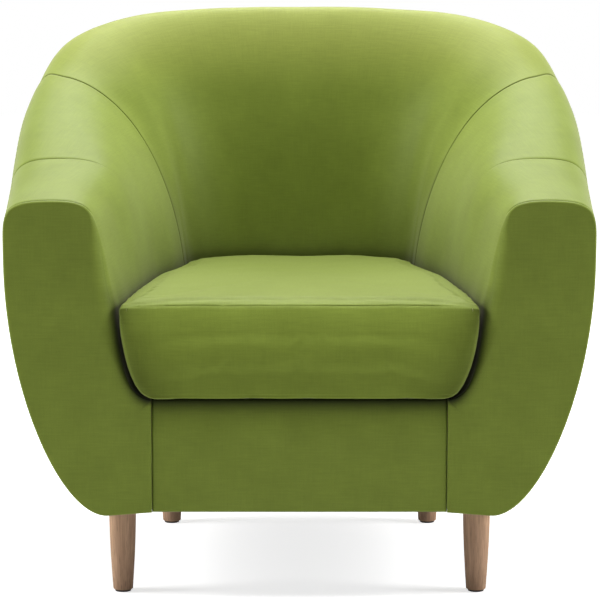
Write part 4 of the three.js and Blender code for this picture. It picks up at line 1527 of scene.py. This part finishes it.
@dataclass
class CushionSizes:
    """The loose cushion's own sizes, in metres."""

    proud: float = 0.019
    corner: float = 0.016
    crown: float = 0.0072
    gap: float = 0.0012
    side_lift: float = 0.0030
    clearance: float = 0.0003
    start: float = 0.03
    low_setback: float = 0.0110
    high_setback: float = 0.0260
    rear_drop: float = 0.0034
    front_rise: float = 0.0026
    crown_steps: tuple[tuple[float, float], ...] = (
        (0.09, 0.990), (0.22, 0.973), (0.38, 0.945), (0.56, 0.90), (0.73, 0.83), (0.87, 0.71), (0.96, 0.52),
        (1.00, 0.27),
    )
    ring_shares: tuple[float, ...] = (0.0, 0.03, 0.08, 0.16, 0.27, 0.38, 0.5, 0.62, 0.74, 0.84, 0.92, 0.97, 1.0)
    ahead_depth: float = 0.05
    ahead_fade: float = 0.04
    ahead_half: float = 0.25
    ahead_side: float = 0.05
    front_length: float = 0.2
    rear_start: float = 0.06
    rear_length: float = 0.22
    pressed_half: float = 0.14
    pressed_fade: float = 0.08
    pressed_start: float = 0.06
    pressed_power: float = 0.7
    low_power: int = 3
    high_power: float = 4.0
    side_steps: int = 70
    front_steps: int = 24
    corner_steps: int = 10
    smaller: float = 0.0010
    voxel: float = 0.005
    pressure: float = 4.0
    frames: int = 20
    front_cap: float = 0.0045
    top_cap: float = 0.0026
    side_cap: float = 0.0015
    inward_cap: float = 0.0006
    facing_from: float = 0.3
    facing_fade: float = 0.6
    foam_inset: float = 0.014


@dataclass(frozen=True)
class CushionSeams:
    """The seams round the cushion's top and bottom and the cloth beside them, in metres.

    below_line and above_deck: where the two seams lie. rows: the mesh's rows beside a seam. gathered: how far the
    cloth is drawn together in it, with gathers that vary it. waves: of the whole cover. crush: the short ripples
    of the top's front edge, drawn out along it by crush_stretch.
    """

    below_line: float = 0.001
    above_deck: float = 0.0075
    rows: tuple[float, ...] = (
        -0.0045, -0.0028, -0.0016, -0.0008, 0.0, 0.0008, 0.0016, 0.0024, 0.0032, 0.0040, 0.0052,
    )
    depth: float = 0.0009
    width: float = 0.0010
    reach: float = 0.006
    low_share: float = 0.7
    gathered: float = 0.8
    least_gathered: float = 0.15
    least_side: float = 0.02
    gathers: tuple[Ripple, ...] = (Ripple(0.7, 0.045, 5.0), Ripple(0.3, 0.009, 9.0))
    waves: tuple[Ripple, ...] = (Ripple(0.0006, 0.05, 61.0), Ripple(0.0009, 0.12, 67.0))
    crush: Ripple = Ripple(0.0005, 0.011, 71.0)
    crush_stretch: float = 0.45
    crush_facing: Ramp = Ramp(0.5, 0.9)
    crush_depth: Ramp = Ramp(0.09, 0.03)
    fold_half: float = 0.05
    snap: float = 0.01 * MM


@dataclass(frozen=True)
class CushionPaintedShade:
    """Painted shade on the cushion beside the arms, as shares, and over which distances in metres.

    front and front_broad: shares and reaches in from the sides of the front. proud and hidden: of the sides, in
    front of the arms and between them. top: beside the arms on the crown.
    """

    front: tuple[float, float] = (0.48, 0.018)
    front_broad: tuple[float, float] = (0.20, 0.06)
    proud: float = 0.3
    hidden: float = 0.4
    hidden_depth: float = 0.02
    top: tuple[float, float] = (0.36, 0.022)
    top_half: float = 0.1
    side_half: float = 0.15
    side_behind: float = 0.01
    levels: int = 24
    level: Ramp = Ramp(0.4, 0.8)
    ahead: Ramp = Ramp(0.35, 0.85)


@dataclass(frozen=True)
class ZipSizes:
    """The cushion's zip, in metres: its tape, its closed chain, its teeth and its slider."""

    tape: float = 0.0012
    tape_in: float = 0.0004
    chain: tuple[float, float] = (0.0022, 0.0034)
    chain_in: float = 0.0010
    end: float = 0.004
    edge: float = 0.0003
    pitch: float = 0.0030
    tooth: tuple[float, float, float] = (0.0013, 0.0016, 0.0024)
    tooth_out: float = 0.0002
    offset: float = 0.0007
    slider: tuple[float, float, float] = (0.0085, 0.0034, 0.0060)
    slider_end: float = 0.012
    slider_out: float = 0.0006
    slider_edge: float = 0.0008


class SeatCushion:
    """The loose box cushion, swollen by a cloth simulation, with its seams sewn in afterwards."""

    def __init__(self, wall: Wall, finishes: Finishes) -> None:
        """Args:
            wall: The wall that the cushion lies in.
            finishes: The chair's finishes.
        """
        self.wall = wall
        self.finishes = finishes
        self.sizes = CushionSizes()
        self.seams = CushionSeams()
        self.pile = CushionPaintedShade()

    @property
    def seam_height(self) -> float:
        """The height of the seam round the cushion's top."""
        return self.wall.sizes.seat_line - self.seams.below_line

    def half_ring(self, share: float, inset: float) -> list[Vector]:
        """Half of the cushion's outline at a share of its height, from the middle of its front to its rear.

        Args:
            share: Of the height from the deck to the seat line.
            inset: How far inside its full size.

        Returns:
            The points of the half outline.
        """
        s, chair = self.sizes, self.wall.sizes
        level = between(chair.deck_height + s.clearance, chair.seat_line, share)
        side = []
        for t in spread(s.start, float(LAST_STATION), s.side_steps):
            p = self.wall.point(t, self.mark_at_height(t, level)) - self.wall.outward(t) * (s.gap + inset)
            side.append(Vector((p.x, p.y, level)))
        face = -chair.front_reach - s.proud + self.setback(share) + inset
        corner = side[0]
        straight = corner.x - s.corner
        front = [Vector((x, face, level)) for x in spread(0.0, straight, s.front_steps)[:-1]]
        for turn in spread(0.0, math.pi / 2, s.corner_steps)[:-1]:
            x = straight + s.corner * math.sin(turn)
            front.append(Vector((x, corner.y + (face - corner.y) * math.cos(turn), level)))
        return front + side

    @lru_cache(maxsize=4096)
    def mark_at_height(self, t: float, level: float) -> float:
        """The place along the section's first curve that lies at a height."""
        return halved(24, lambda v: self.wall.point(t, v).z < level)

    def setback(self, share: float) -> float:
        """How far the front stands back at a share of the height."""
        s = self.sizes
        return s.low_setback * (1 - share) ** s.low_power + s.high_setback * share**s.high_power

    def rings(self, inset: float) -> list[list[Vector]]:
        """The cushion's closed outlines from its underside to its crown.

        Args:
            inset: How far inside its full size.

        Returns:
            The outlines, each with as many points.
        """
        s, found = self.sizes, []
        for share in s.ring_shares:
            half = self.half_ring(share, inset)
            found.append(half + [Vector((-p.x, p.y, p.z)) for p in reversed(half[1:-1])])
        for p in found[0]:
            p.z += inset
        seam = found[-1]
        low, high = min(p.y for p in seam), max(p.y for p in seam)
        middle = Vector((0, (low + high) / 2, 0))
        pressed = [self.beside_arm(p, low, high) for p in seam]
        for p, share in zip(seam, pressed):
            p.z = self.wall.sizes.seat_line - inset + s.side_lift * share
        for rise, size in s.crown_steps:
            ring = []
            for p, share in zip(seam, pressed):
                ahead = eased((low + s.ahead_depth - p.y) / s.ahead_fade)
                ahead *= eased((s.ahead_half - abs(p.x)) / s.ahead_side)
                height = p.z + rise ** (1 - 0.5 * max(share, ahead)) * (s.crown - s.side_lift * share * rise)
                place = middle + (Vector((p.x, p.y, 0)) - middle) * size
                height -= s.rear_drop * rise * eased((place.y - middle.y + s.rear_start) / s.rear_length)
                behind = eased((place.y - low - s.ahead_depth) / s.front_length)
                height += s.front_rise * math.sqrt(rise) * ahead * (1 - behind)
                ring.append(place + Vector((0, 0, height)))
            found.append(ring)
        return found

    def beside_arm(self, p: Vector, low: float, high: float) -> float:
        """How firmly an arm presses the cushion up at a place on its outline: most half way along its side."""
        s = self.sizes
        along = min(max(((p.y - low) / (high - low) - s.pressed_start) / (1 - s.pressed_start), 0.0), 1.0)
        inner = eased((abs(p.x) - s.pressed_half) / s.pressed_fade)
        return inner * math.sin(math.pi * along) ** s.pressed_power

    def build(self) -> None:
        """Makes the cushion's cover, its foam and its zip."""
        bm = lofted_rings(self.rings(self.sizes.smaller))
        bmesh.ops.triangulate(bm, faces=[f for f in bm.faces if len(f.verts) > 4])
        cover = finished_object("seat_cushion_cover_sewn", bm)
        self.swell(cover)
        bm = bmesh.new()
        bm.from_mesh(cover.data)
        self.sew(bm)
        weave_uv(bm, boxed_lay)
        for face in bm.faces:
            face.smooth = True
        bm.to_mesh(cover.data)
        bm.free()
        dress(cover, self.finishes.cushion_velvet, Slot.VELVET, ["seat_cushion_cover"], Body.CUSHION)
        self.foam()
        self.zip()

    def sew(self, bm: bmesh.types.BMesh) -> None:
        """Draws in the seams round the cushion's top and bottom, and raises the folds beside them.

        Args:
            bm: The cover's mesh.
        """
        s = self.seams
        low = self.wall.sizes.deck_height + s.above_deck
        for height in (self.seam_height, low):
            for row in s.rows:
                geom = [*bm.verts, *bm.edges, *bm.faces]
                bmesh.ops.bisect_plane(bm, geom=geom, plane_co=(0, 0, height + row), plane_no=(0, 0, 1), dist=s.snap)
        bm.normal_update()
        folds = self.folds()
        face = -self.wall.sizes.front_reach - self.sizes.proud
        front_end, rear_end = min(v.co.y for v in bm.verts), max(v.co.y for v in bm.verts)
        moves = []
        for vert in bm.verts:
            normal, co = vert.normal, vert.co
            side = 1 - abs(normal.z)
            lift = sum(wave.at(co) for wave in s.waves)
            pressed = self.beside_arm(co, front_end, rear_end)
            for height, share in ((self.seam_height + self.sizes.side_lift * pressed, 1.0), (low, s.low_share)):
                away = abs(co.z - height)
                if side > s.least_side and away < s.reach:
                    gathers = max(s.least_gathered, s.gathered + sum(ripple.at(co) for ripple in s.gathers))
                    lift -= s.depth * math.exp(-((away / s.width) ** 2)) * share * gathers * min(1.0, side * 3)
            if abs(co.x) > s.fold_half:
                mirrored = Vector((abs(co.x), co.y, co.z))
                lift += sum(fold.lift(mirrored) for fold in folds)
            crushed = s.crush_facing.at(normal.z) * s.crush_depth.at(co.y - face)
            lift += crushed * s.crush.at(Vector((co.x * s.crush_stretch, co.y, 0)))
            moves.append(normal * lift)
        floor = self.wall.sizes.deck_height + self.sizes.clearance
        for vert, move in zip(bm.verts, moves):
            vert.co += move
            vert.co.z = max(vert.co.z, floor)
        self.paint_shade(bm)

    def paint_shade(self, bm: bmesh.types.BMesh) -> None:
        """Paints shade on the cover where the arms press on it: on its sides, and beside them at its front and top.

        Args:
            bm: The cover's mesh, whose normals are up to date.
        """
        chair, pile, start = self.wall.sizes, self.pile, self.sizes.start
        levels = spread(chair.deck_height, chair.seat_line, pile.levels)
        halves = [self.wall.point(start, self.mark_at_height(start, z)).x - self.sizes.gap for z in levels]
        front_end = -chair.front_reach + pile.side_behind
        side = [p for p in self.half_ring(1.0, 0.0) if p.x > pile.side_half and p.y > front_end]
        crease = bm.verts.layers.float.get("crease") or bm.verts.layers.float.new("crease")
        for vert in bm.verts:
            co, normal = vert.co, vert.normal
            at = (co.z - levels[0]) / (levels[-1] - levels[0]) * (len(levels) - 1)
            low = min(max(int(at), 0), len(levels) - 2)
            half = between(halves[low], halves[low + 1], min(max(at - low, 0.0), 1.0))
            inside = max(0.0, half - abs(co.x))
            (most, reach), (broad, broad_reach) = pile.front, pile.front_broad
            shade_share = most * math.exp(-inside / reach) + broad * math.exp(-((inside / broad_reach) ** 2))
            hidden = pile.proud + pile.hidden * eased((co.y + chair.front_reach) / pile.hidden_depth)
            shade_share = max(shade_share * pile.ahead.at(-normal.y), hidden * pile.level.at(abs(normal.x)))
            if normal.z > pile.level.start and abs(co.x) > pile.top_half:
                near = min((Vector((abs(co.x), co.y)) - p.xy).length for p in side)
                shade_share = max(shade_share, pile.top[0] * math.exp(-near / pile.top[1]) * pile.level.at(normal.z))
            vert[crease] = shade_share

    def folds(self) -> tuple[Fold, ...]:
        """The small folds at the front corners of the top, on the right half."""
        face = -self.wall.sizes.front_reach - self.sizes.proud
        top = self.seam_height
        return (
            Fold((0.262, face + 0.022, top + 0.003), (0.215, face + 0.010, top + 0.001), 0.0030, 0.0022),
            Fold((0.262, face + 0.034, top + 0.004), (0.205, face + 0.040, top + 0.007), 0.0040, 0.0018),
            Fold((0.255, face + 0.055, top + 0.004), (0.190, face + 0.080, top + 0.009), 0.0060, 0.0016),
            Fold((0.264, face + 0.018, top - 0.006), (0.252, face + 0.006, top - 0.034), 0.0035, 0.0012),
            Fold((0.255, face + 0.008, top - 0.004), (0.236, face + 0.002, top - 0.030), 0.0035, -0.0010),
            Fold((0.200, face + 0.004, top + 0.001), (0.185, face + 0.012, top + 0.004), 0.0028, 0.0010),
            Fold((0.170, face + 0.020, top + 0.004), (0.080, face + 0.060, top + 0.008), 0.0110, 0.0012),
        )

    def swell(self, cover: bpy.types.Object) -> None:
        """Remeshes the cover and lets pressure round it out.

        Args:
            cover: The cushion's plain cover, a little smaller than its full size.
        """
        s = self.sizes
        remesh = cover.modifiers.new("Remesh", "REMESH")
        remesh.mode = "VOXEL"
        remesh.voxel_size = s.voxel
        self.apply_modifiers(cover)
        rest = [(v.co.copy(), v.normal.copy()) for v in cover.data.vertices]
        cloth = cover.modifiers.new("Cloth", "CLOTH")
        cloth.settings.use_pressure = True
        cloth.settings.uniform_pressure_force = s.pressure
        cloth.settings.effector_weights.gravity = 0
        cloth.settings.quality = 5
        cloth.point_cache.frame_start = 1
        cloth.point_cache.frame_end = s.frames
        for number in range(1, s.frames + 1):
            bpy.context.scene.frame_set(number)
        self.apply_modifiers(cover)
        bpy.context.scene.frame_set(1)
        floor = self.wall.sizes.deck_height + s.clearance
        for vertex, (start, normal) in zip(cover.data.vertices, rest):
            move = vertex.co - start
            out = min(max(move.dot(normal), -s.inward_cap), self.outward_cap(normal))
            vertex.co = start + normal * out
            vertex.co.z = max(vertex.co.z, floor)
        subdivide = cover.modifiers.new("Subdivision", "SUBSURF")
        subdivide.levels = subdivide.render_levels = 1
        self.apply_modifiers(cover)

    def outward_cap(self, normal: Vector) -> float:
        """How far the cover may swell where it faces that way: little beside the arms, more at the front."""
        s = self.sizes
        front = eased((-normal.y - s.facing_from) / s.facing_fade)
        top = eased((normal.z - s.facing_from) / s.facing_fade)
        return s.side_cap + (s.front_cap - s.side_cap) * front + (s.top_cap - s.side_cap) * top

    @staticmethod
    def apply_modifiers(piece: bpy.types.Object) -> None:
        """Makes the piece's modifiers part of its mesh."""
        graph = bpy.context.evaluated_depsgraph_get()
        mesh = bpy.data.meshes.new_from_object(piece.evaluated_get(graph), depsgraph=graph)
        piece.modifiers.clear()
        old, piece.data = piece.data, mesh
        bpy.data.meshes.remove(old)

    def foam(self) -> None:
        """The foam block inside the cover, crushed round at its corners."""
        bm = lofted_rings(self.rings(self.sizes.foam_inset)[2:-2])
        bmesh.ops.triangulate(bm, faces=[f for f in bm.faces if len(f.verts) > 4])
        block = finished_object("seat_cushion_foam_block", bm)
        dress(block, self.finishes.foam, Slot.FOAM, ["seat_cushion_foam"], Body.CUSHION)

    def zip(self) -> None:
        """The zip in the cushion's rear edge: its tape, its two rows of teeth, and its slider."""
        low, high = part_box("cushion_zip")
        half, rear, middle = (high.x - low.x) / 2, high.y, (low.z + high.z) / 2
        s, bm = ZipSizes(), bmesh.new()
        self.block(bm, (2 * half, s.tape, high.z - low.z), (0, rear - s.tape_in, middle))
        self.block(bm, (2 * half - s.end, *s.chain), (0, rear - s.chain_in, middle))
        bmesh.ops.bevel(bm, geom=list(bm.edges), affect="EDGES", offset=s.edge, segments=2, profile=0.5, material=-1)
        for number in range(int(2 * half / s.pitch) - 1):
            side = 1 if number % 2 else -1
            self.block(bm, s.tooth, (-half + s.end + number * s.pitch, rear + s.tooth_out, middle + side * s.offset))
        slider = self.block(bm, s.slider, (half - s.slider_end, rear + s.slider_out, middle))
        edges = list({e for v in slider for e in v.link_edges})
        bmesh.ops.bevel(bm, geom=edges, affect="EDGES", offset=s.slider_edge, segments=3, profile=0.5, material=-1)
        piece = finished_object("cushion_zip_chain", bm, sharpness=40)
        dress(piece, self.finishes.nylon, Slot.ZIP, ["cushion_zip"], Body.CUSHION)

    @staticmethod
    def block(bm: bmesh.types.BMesh, size: Sequence[float], place: Sequence[float]) -> list[bmesh.types.BMVert]:
        """Adds a box of that size with its middle at a place, and returns its corners."""
        made = bmesh.ops.create_cube(bm, size=1)["verts"]
        bmesh.ops.scale(bm, vec=size, verts=made)
        bmesh.ops.translate(bm, vec=place, verts=made)
        return made


@dataclass
class LegSizes:
    """A turned leg's sizes, in metres."""

    top_radius: float = 0.0205
    foot_radius: float = 0.01475
    bulge: float = 0.0011
    bottom: float = 0.0033
    edge: float = 0.0012
    steps: int = 72
    glide_radius: float = 0.012
    glide_height: float = 0.003
    glide_edge: float = 0.0008
    glide_steps: int = 48


class Legs:
    """The four turned legs and their glides."""

    PLACES = ("front_right", "front_left", "rear_right", "rear_left")

    def __init__(self, finishes: Finishes) -> None:
        """Args:
            finishes: The chair's finishes.
        """
        self.finishes = finishes
        self.sizes = LegSizes()

    def build(self) -> None:
        """Makes each leg and its glide where the frame has them."""
        for place in self.PLACES:
            low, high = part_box("leg_" + place)
            centre = Vector(((low.x + high.x) / 2, (low.y + high.y) / 2, 0))
            leg = finished_object("turned_leg_" + place, spun_profile(self.profile(high.z), centre, self.sizes.steps))
            dress(leg, self.finishes.walnut, Slot.WALNUT, ["leg_" + place])
            mesh = spun_profile(self.glide_profile(), centre, self.sizes.glide_steps)
            glide = finished_object("nylon_glide_" + place, mesh)
            dress(glide, self.finishes.nylon, Slot.GLIDE_NYLON, ["glide_" + place])

    def profile(self, top: float) -> list[tuple[float, float]]:
        """The leg's outline, with its foot rounded off.

        Args:
            top: The height of its top.

        Returns:
            Radius and height from the foot's middle to the top's.
        """
        s = self.sizes
        outline = self.rounded_foot(s.foot_radius, s.bottom, s.edge, 6)
        for share in spread(0.0, 1.0, 28)[1:]:
            height = between(s.bottom + s.edge, top, share)
            radius = between(s.foot_radius, s.top_radius, share) + s.bulge * math.sin(math.pi * share)
            outline.append((radius, height))
        return outline + [(0.0, top)]

    def glide_profile(self) -> list[tuple[float, float]]:
        """The glide's outline, with a rounded lower edge."""
        s = self.sizes
        outline = self.rounded_foot(s.glide_radius, 0.0, s.glide_edge, 5)
        return outline + [(s.glide_radius, s.glide_height), (0.0, s.glide_height)]

    @staticmethod
    def rounded_foot(radius: float, bottom: float, edge: float, steps: int) -> list[tuple[float, float]]:
        """The start of a turned outline: from the axis out, and up round its lower edge."""
        turns = spread(0.0, math.pi / 2, steps)
        rounded = [(radius - edge * (1 - math.sin(turn)), bottom + edge * (1 - math.cos(turn))) for turn in turns]
        return [(0.0, bottom), *rounded]


class Underframe:
    """The hidden frame, springs and fasteners, which keep the frame's own shapes, and the two cloths under them."""

    DECK_GAP = 0.0008
    COVER_GAP = 0.0006
    SLAB_RINGS = ((0, 0.997), (0, 1.0), (1, 1.0), (1, 0.997), (1, 0.9), (1, 0.6))

    def __init__(self, wall: Wall, finishes: Finishes) -> None:
        """Args:
            wall: The shape of the padded wall.
            finishes: The chair's finishes.
        """
        self.wall = wall
        self.finishes = finishes

    def build(self) -> None:
        """Dresses the frame's nodes and makes its two cloths."""
        for name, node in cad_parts.items():
            material = self.finish_for(name)
            if material is None:
                continue
            node.data.materials.clear()
            node.data.materials.append(material)
        self.seat_deck()
        self.dust_cover()

    def finish_for(self, name: str) -> Optional[bpy.types.Material]:
        """The finish of a node that stays, or None for one that a new piece stands for."""
        finishes = self.finishes
        kinds = (
            (("bolt", "clip"), finishes.zinc),
            (("spring",), finishes.spring_steel),
            (("post", "rib"), finishes.timber_upright),
            (("front_rail", "rear_rail", "back_top_rail", "block"), finishes.timber_across),
            (("rail",), finishes.timber_along),
        )
        for words, material in kinds:
            if any(word in name for word in words):
                return material
        return None

    def outline(self, mark: float, gap: float, back: float) -> list[Vector]:
        """A level outline that follows the wall all round the inside.

        Args:
            mark: The place along the section.
            gap: How far it is held off the wall.
            back: How far behind the arm fronts it starts.

        Returns:
            The outline, from the right front round the rear to the left front.
        """
        start = self.wall.station_behind_front(back)
        points = []
        for t in spread(start, 2 * LAST_STATION - start, 120):
            p = self.wall.point(t, mark) - self.wall.outward(t) * gap
            points.append(Vector((p.x, p.y, 0)))
        return points

    def slab(self, name: str, outline: Sequence[Vector], low: float, high: float) -> bpy.types.Object:
        """A flat cloth piece between two heights, with a softened edge."""
        rings = []
        middle = Vector((0, sum(p.y for p in outline) / len(outline), 0))
        for share, size in self.SLAB_RINGS:
            lift = Vector((0, 0, between(low, high, share)))
            rings.append([middle + (p - middle) * size + lift for p in outline])
        bm = lofted_rings(rings)
        bmesh.ops.triangulate(bm, faces=[f for f in bm.faces if len(f.verts) > 4])
        return finished_object(name, bm, smooth=False)

    def seat_deck(self) -> None:
        """The cloth platform that the cushion lies on."""
        s = self.wall.sizes
        outline = self.outline(SectionMark.DECK.value, self.DECK_GAP, s.facing_depth + self.COVER_GAP)
        low = s.deck_height - s.deck_thickness + s.seam
        deck = self.slab("seat_deck_platform", outline, low, s.deck_height - s.seam)
        dress(deck, self.finishes.deck_cloth, Slot.DECK_CLOTH, ["seat_deck"])

    def dust_cover(self) -> None:
        """The black cloth under the base."""
        low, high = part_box("dust_cover")
        behind = self.wall.sizes.facing_depth + self.COVER_GAP
        outline = self.outline(SectionMark.BASE.value, self.COVER_GAP, behind)
        cover = self.slab("base_lining_cloth", outline, low.z, high.z)
        dress(cover, self.finishes.lining, Slot.LINING, ["dust_cover"])
        area = self.flat_area(outline)

    @staticmethod
    def flat_area(outline: Sequence[Vector]) -> float:
        """The area inside a level outline."""
        pairs = zip(outline, [*outline[1:], outline[0]])
        return abs(sum(a.x * b.y - b.x * a.y for a, b in pairs)) / 2


@dataclass
class Studio:
    """The camera at the photograph's angle, the pale floor and the soft lights."""

    distance: float = 4.5
    height: float = 1.03
    tilt_degrees: float = 8.0366
    focal_pixels: float = 2862.88
    frame_pixels: float = 600.0
    middle_pixel: float = 299.5
    sensor: float = 36.0
    aim_height: float = 0.45
    ambient: float = 0.02
    backdrop: float = 0.72
    backdrop_reach: tuple[float, float] = (0.8, 2.6)
    floor_half: float = 9.0
    softboxes: tuple[tuple[str, tuple[float, float, float], float, float], ...] = (
        ("overhead_softbox", (0.0, -0.1, 3.2), 2.2, 76.0),
        ("rear_softbox", (0.0, 1.6, 3.0), 1.8, 68.0),
        ("side_softbox_right", (3.0, -0.4, 1.6), 1.2, 69.0),
        ("side_softbox_left", (-3.0, -0.4, 1.6), 1.2, 69.0),
    )

    def build(self) -> None:
        """Makes the camera, the floor, the world and the lamps."""
        self.camera()
        self.floor()
        self.world()
        for softbox in self.softboxes:
            self.lamp(*softbox)
        bpy.context.scene.view_settings.view_transform = "Standard"

    def camera(self) -> None:
        """The camera that matches the photograph."""
        data = bpy.data.cameras.new("photo_camera")
        data.sensor_width = self.sensor
        data.lens = self.focal_pixels / self.frame_pixels * self.sensor
        data.shift_x = (self.frame_pixels / 2 - self.middle_pixel) / self.frame_pixels
        camera = bpy.data.objects.new("photo_camera", data)
        camera.location = (0, -self.distance, self.height)
        camera.rotation_euler = (math.radians(90 - self.tilt_degrees), 0, 0)
        bpy.context.scene.collection.objects.link(camera)
        bpy.context.scene.camera = camera

    def floor(self) -> None:
        """A pale floor that runs up into a backdrop."""
        bm = bmesh.new()
        bmesh.ops.create_grid(bm, x_segments=2, y_segments=2, size=self.floor_half)
        piece = finished_object("studio_floor", bm, smooth=False)
        canvas = NodeCanvas("studio_floor")
        place = canvas.place()
        speckle = canvas.ramp(canvas.noise(place, 3.0), 0.3, 0.7, 0.985, 1.0)
        path = canvas.add("ShaderNodeLightPath").outputs
        seen = canvas.math("MAXIMUM", path["Is Camera Ray"], path["Is Glossy Ray"])
        away = canvas.add("ShaderNodeVectorMath", {0: place}, operation="LENGTH").outputs["Value"]
        glow = canvas.ramp(away, *self.backdrop_reach, self.backdrop, 1.0)
        canvas.set(
            Base_Color=canvas.toned((0.9, 0.9, 0.9), speckle),
            Roughness=0.9,
            Specular_IOR_Level=0.0,
            Emission_Color=(1, 1, 1, 1),
            Emission_Strength=canvas.math("MULTIPLY", seen, glow),
        )
        piece.data.materials.append(canvas.material)

    def world(self) -> None:
        """White where the camera looks past the floor, and a soft even light on the chair."""
        world = bpy.data.worlds.new("studio_world")
        world.use_nodes = True
        bpy.context.scene.world = world
        nodes, links = world.node_tree.nodes, world.node_tree.links
        path = nodes.new("ShaderNodeLightPath")
        seen = nodes.new("ShaderNodeMath")
        seen.operation = "MAXIMUM"
        links.new(path.outputs["Is Camera Ray"], seen.inputs[0])
        links.new(path.outputs["Is Glossy Ray"], seen.inputs[1])
        strength = nodes.new("ShaderNodeMapRange")
        strength.inputs["To Min"].default_value = self.ambient
        strength.inputs["To Max"].default_value = 1.0
        links.new(seen.outputs[0], strength.inputs["Value"])
        background = nodes["Background"]
        background.inputs["Color"].default_value = (1, 1, 1, 1)
        links.new(strength.outputs["Result"], background.inputs["Strength"])

    def lamp(self, name: str, place: Sequence[float], size: float, power: float) -> None:
        """Adds one square soft lamp that faces the middle of the chair.

        Args:
            name: The lamp's name.
            place: Where it hangs.
            size: The length of its side.
            power: In watts.
        """
        data = bpy.data.lights.new(name, "AREA")
        data.shape = "SQUARE"
        data.size = size
        data.energy = power
        light = bpy.data.objects.new(name, data)
        light.location = place
        aim = Vector((0, 0, self.aim_height)) - Vector(place)
        light.rotation_euler = aim.to_track_quat("-Z", "Y").to_euler()
        bpy.context.scene.collection.objects.link(light)


def main() -> None:
    """Builds the chair and its studio in order."""
    logging.basicConfig(level=logging.INFO, format="%(name)s: %(message)s")
    Studio().build()
    wall = Wall()
    finishes = Finishes()
    Upholstery(wall, finishes).build()
    SeatCushion(wall, finishes).build()
    Legs(finishes).build()
    Underframe(wall, finishes).build()


if __name__ == "__main__":
    main()
